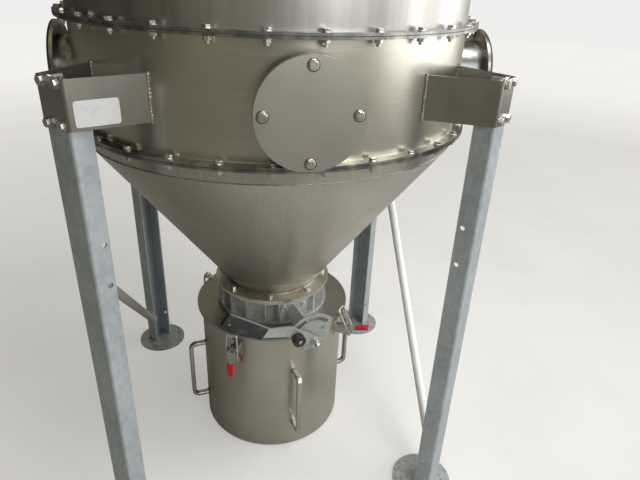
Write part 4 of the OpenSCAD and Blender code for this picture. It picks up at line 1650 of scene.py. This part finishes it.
@dataclass
class Studio:
    """Floor, lamps, world and the camera at the photograph's angle."""

    eye: Triple = (-0.1624, -1.5425, 1.443)
    heading: float = 0.2029
    pitch: float = 0.4651
    roll: float = 0.043
    lens: float = 30.41
    sensor: float = 36.0
    floor_r: float = 14.0
    lamp_spread: float = math.radians(110)
    lamps: tuple[tuple[str, Triple, tuple[float, float], float], ...] = (
        ("window_lamp", (3.8, -0.3, 1.9), (5.4, 2.6), 48),
        ("top_lamp", (1.0, -0.9, 3.9), (1.6, 1.6), 34),
        ("fill_lamp", (1.5, -3.4, 2.3), (1.6, 1.6), 16),
    )
    lamp_aim: Triple = (0, 0, 1.0)
    room_light: float = 0.66
    room_turn: float = 25.0
    warm_tint: Triple = (1.0, 0.92, 0.68)
    window_tint: Triple = (1.0, 0.98, 0.94)
    window_from: float = 0.7
    backdrop: Triple = (0.86, 0.86, 0.85)
    # The first two stops are the two ends that a new colour ramp has
    room: tuple[tuple[float, float], ...] = (
        (0.0, 0.02), (1.0, 0.95), (0.18, 0.08), (0.34, 0.62), (0.58, 0.32), (0.72, 0.36), (0.86, 0.75),
    )

    def build(self) -> None:
        """Sets up the whole studio."""
        self.add_floor()
        self.add_lamps()
        self.set_world()
        self.add_camera()
        bpy.context.scene.view_settings.view_transform = "Standard"

    def add_floor(self) -> None:
        """Adds the plain pale floor."""
        clear_selection()
        bpy.ops.mesh.primitive_circle_add(vertices=96, radius=self.floor_r, fill_type="NGON")
        floor = bpy.context.active_object
        floor.name = "studio_floor"
        floor.data.materials.append(FloorFinish("studio_floor").make())

    def add_lamps(self) -> None:
        """Adds three soft lamps: a broad window at the right, one above and a weak fill at the front."""
        for name, place, size, power in self.lamps:
            data = bpy.data.lights.new(name, "AREA")
            data.shape = "RECTANGLE"
            data.size, data.size_y = size
            data.energy = power
            data.spread = self.lamp_spread
            lamp = bpy.data.objects.new(name, data)
            lamp.location = place
            aim = Vector(self.lamp_aim) - Vector(place)
            lamp.rotation_mode = "QUATERNION"
            lamp.rotation_quaternion = aim.to_track_quat("-Z", "Y")
            lamp.visible_camera = False
            bpy.context.collection.objects.link(lamp)

    def set_world(self) -> None:
        """Lights the scene with a room that is dark at the left, and shows the camera a pale backdrop."""
        world = bpy.data.worlds.new("studio_world")
        bpy.context.scene.world = world
        world.use_nodes = True
        new, link = world.node_tree.nodes.new, world.node_tree.links.new
        room = world.node_tree.nodes["Background"]
        room.inputs["Strength"].default_value = self.room_light
        turned = new("ShaderNodeMapping")
        turned.inputs["Rotation"].default_value = (0, 0, math.radians(self.room_turn))
        link(new("ShaderNodeTexCoord").outputs["Generated"], turned.inputs["Vector"])
        parts = new("ShaderNodeSeparateXYZ")
        link(turned.outputs["Vector"], parts.inputs["Vector"])
        shift = new("ShaderNodeMapRange")
        shift.inputs["From Min"].default_value = -1
        link(parts.outputs["X"], shift.inputs["Value"])
        ramp = new("ShaderNodeValToRGB")
        for stop, (place, tone) in enumerate(self.room):
            point = ramp.color_ramp.elements[stop] if stop < 2 else ramp.color_ramp.elements.new(place)
            point.position = place
            tint = self.warm_tint if place < self.window_from else self.window_tint
            point.color = (*(tone * share for share in tint), 1)
        link(shift.outputs["Result"], ramp.inputs["Fac"])
        link(ramp.outputs["Color"], room.inputs["Color"])
        seen = new("ShaderNodeBackground")
        seen.inputs["Color"].default_value = (*self.backdrop, 1)
        mix = new("ShaderNodeMixShader")
        link(new("ShaderNodeLightPath").outputs["Is Camera Ray"], mix.inputs["Fac"])
        link(room.outputs["Background"], mix.inputs[1])
        link(seen.outputs["Background"], mix.inputs[2])
        link(mix.outputs["Shader"], world.node_tree.nodes["World Output"].inputs["Surface"])

    def add_camera(self) -> None:
        """Adds the camera where the photograph was taken from."""
        ahead = Vector((
            math.sin(self.heading) * math.cos(self.pitch),
            math.cos(self.heading) * math.cos(self.pitch),
            -math.sin(self.pitch),
        ))
        level = Vector((math.cos(self.heading), -math.sin(self.heading), 0))
        up = level.cross(ahead)
        right = level * math.cos(self.roll) + up * math.sin(self.roll)
        above = up * math.cos(self.roll) - level * math.sin(self.roll)
        data = bpy.data.cameras.new("camera")
        data.lens = self.lens
        data.sensor_width = self.sensor
        camera = bpy.data.objects.new("camera", data)
        turn = Matrix((right, above, -ahead)).transposed()
        camera.matrix_world = Matrix.Translation(Vector(self.eye)) @ turn.to_4x4()
        bpy.context.collection.objects.link(camera)
        bpy.context.scene.camera = camera


def main() -> None:
    """Builds every sub-assembly in order, then the studio."""
    logging.basicConfig(level=logging.INFO, format="%(name)s: %(message)s")
    finishes = Finishes()
    for part in (Vessel(finishes), Ports(finishes), Stand(finishes), Valve(finishes), Bin(finishes)):
        LOG.info("building %s", type(part).__name__)
        part.build()
    Studio().build()


if __name__ == "__main__":
    main()
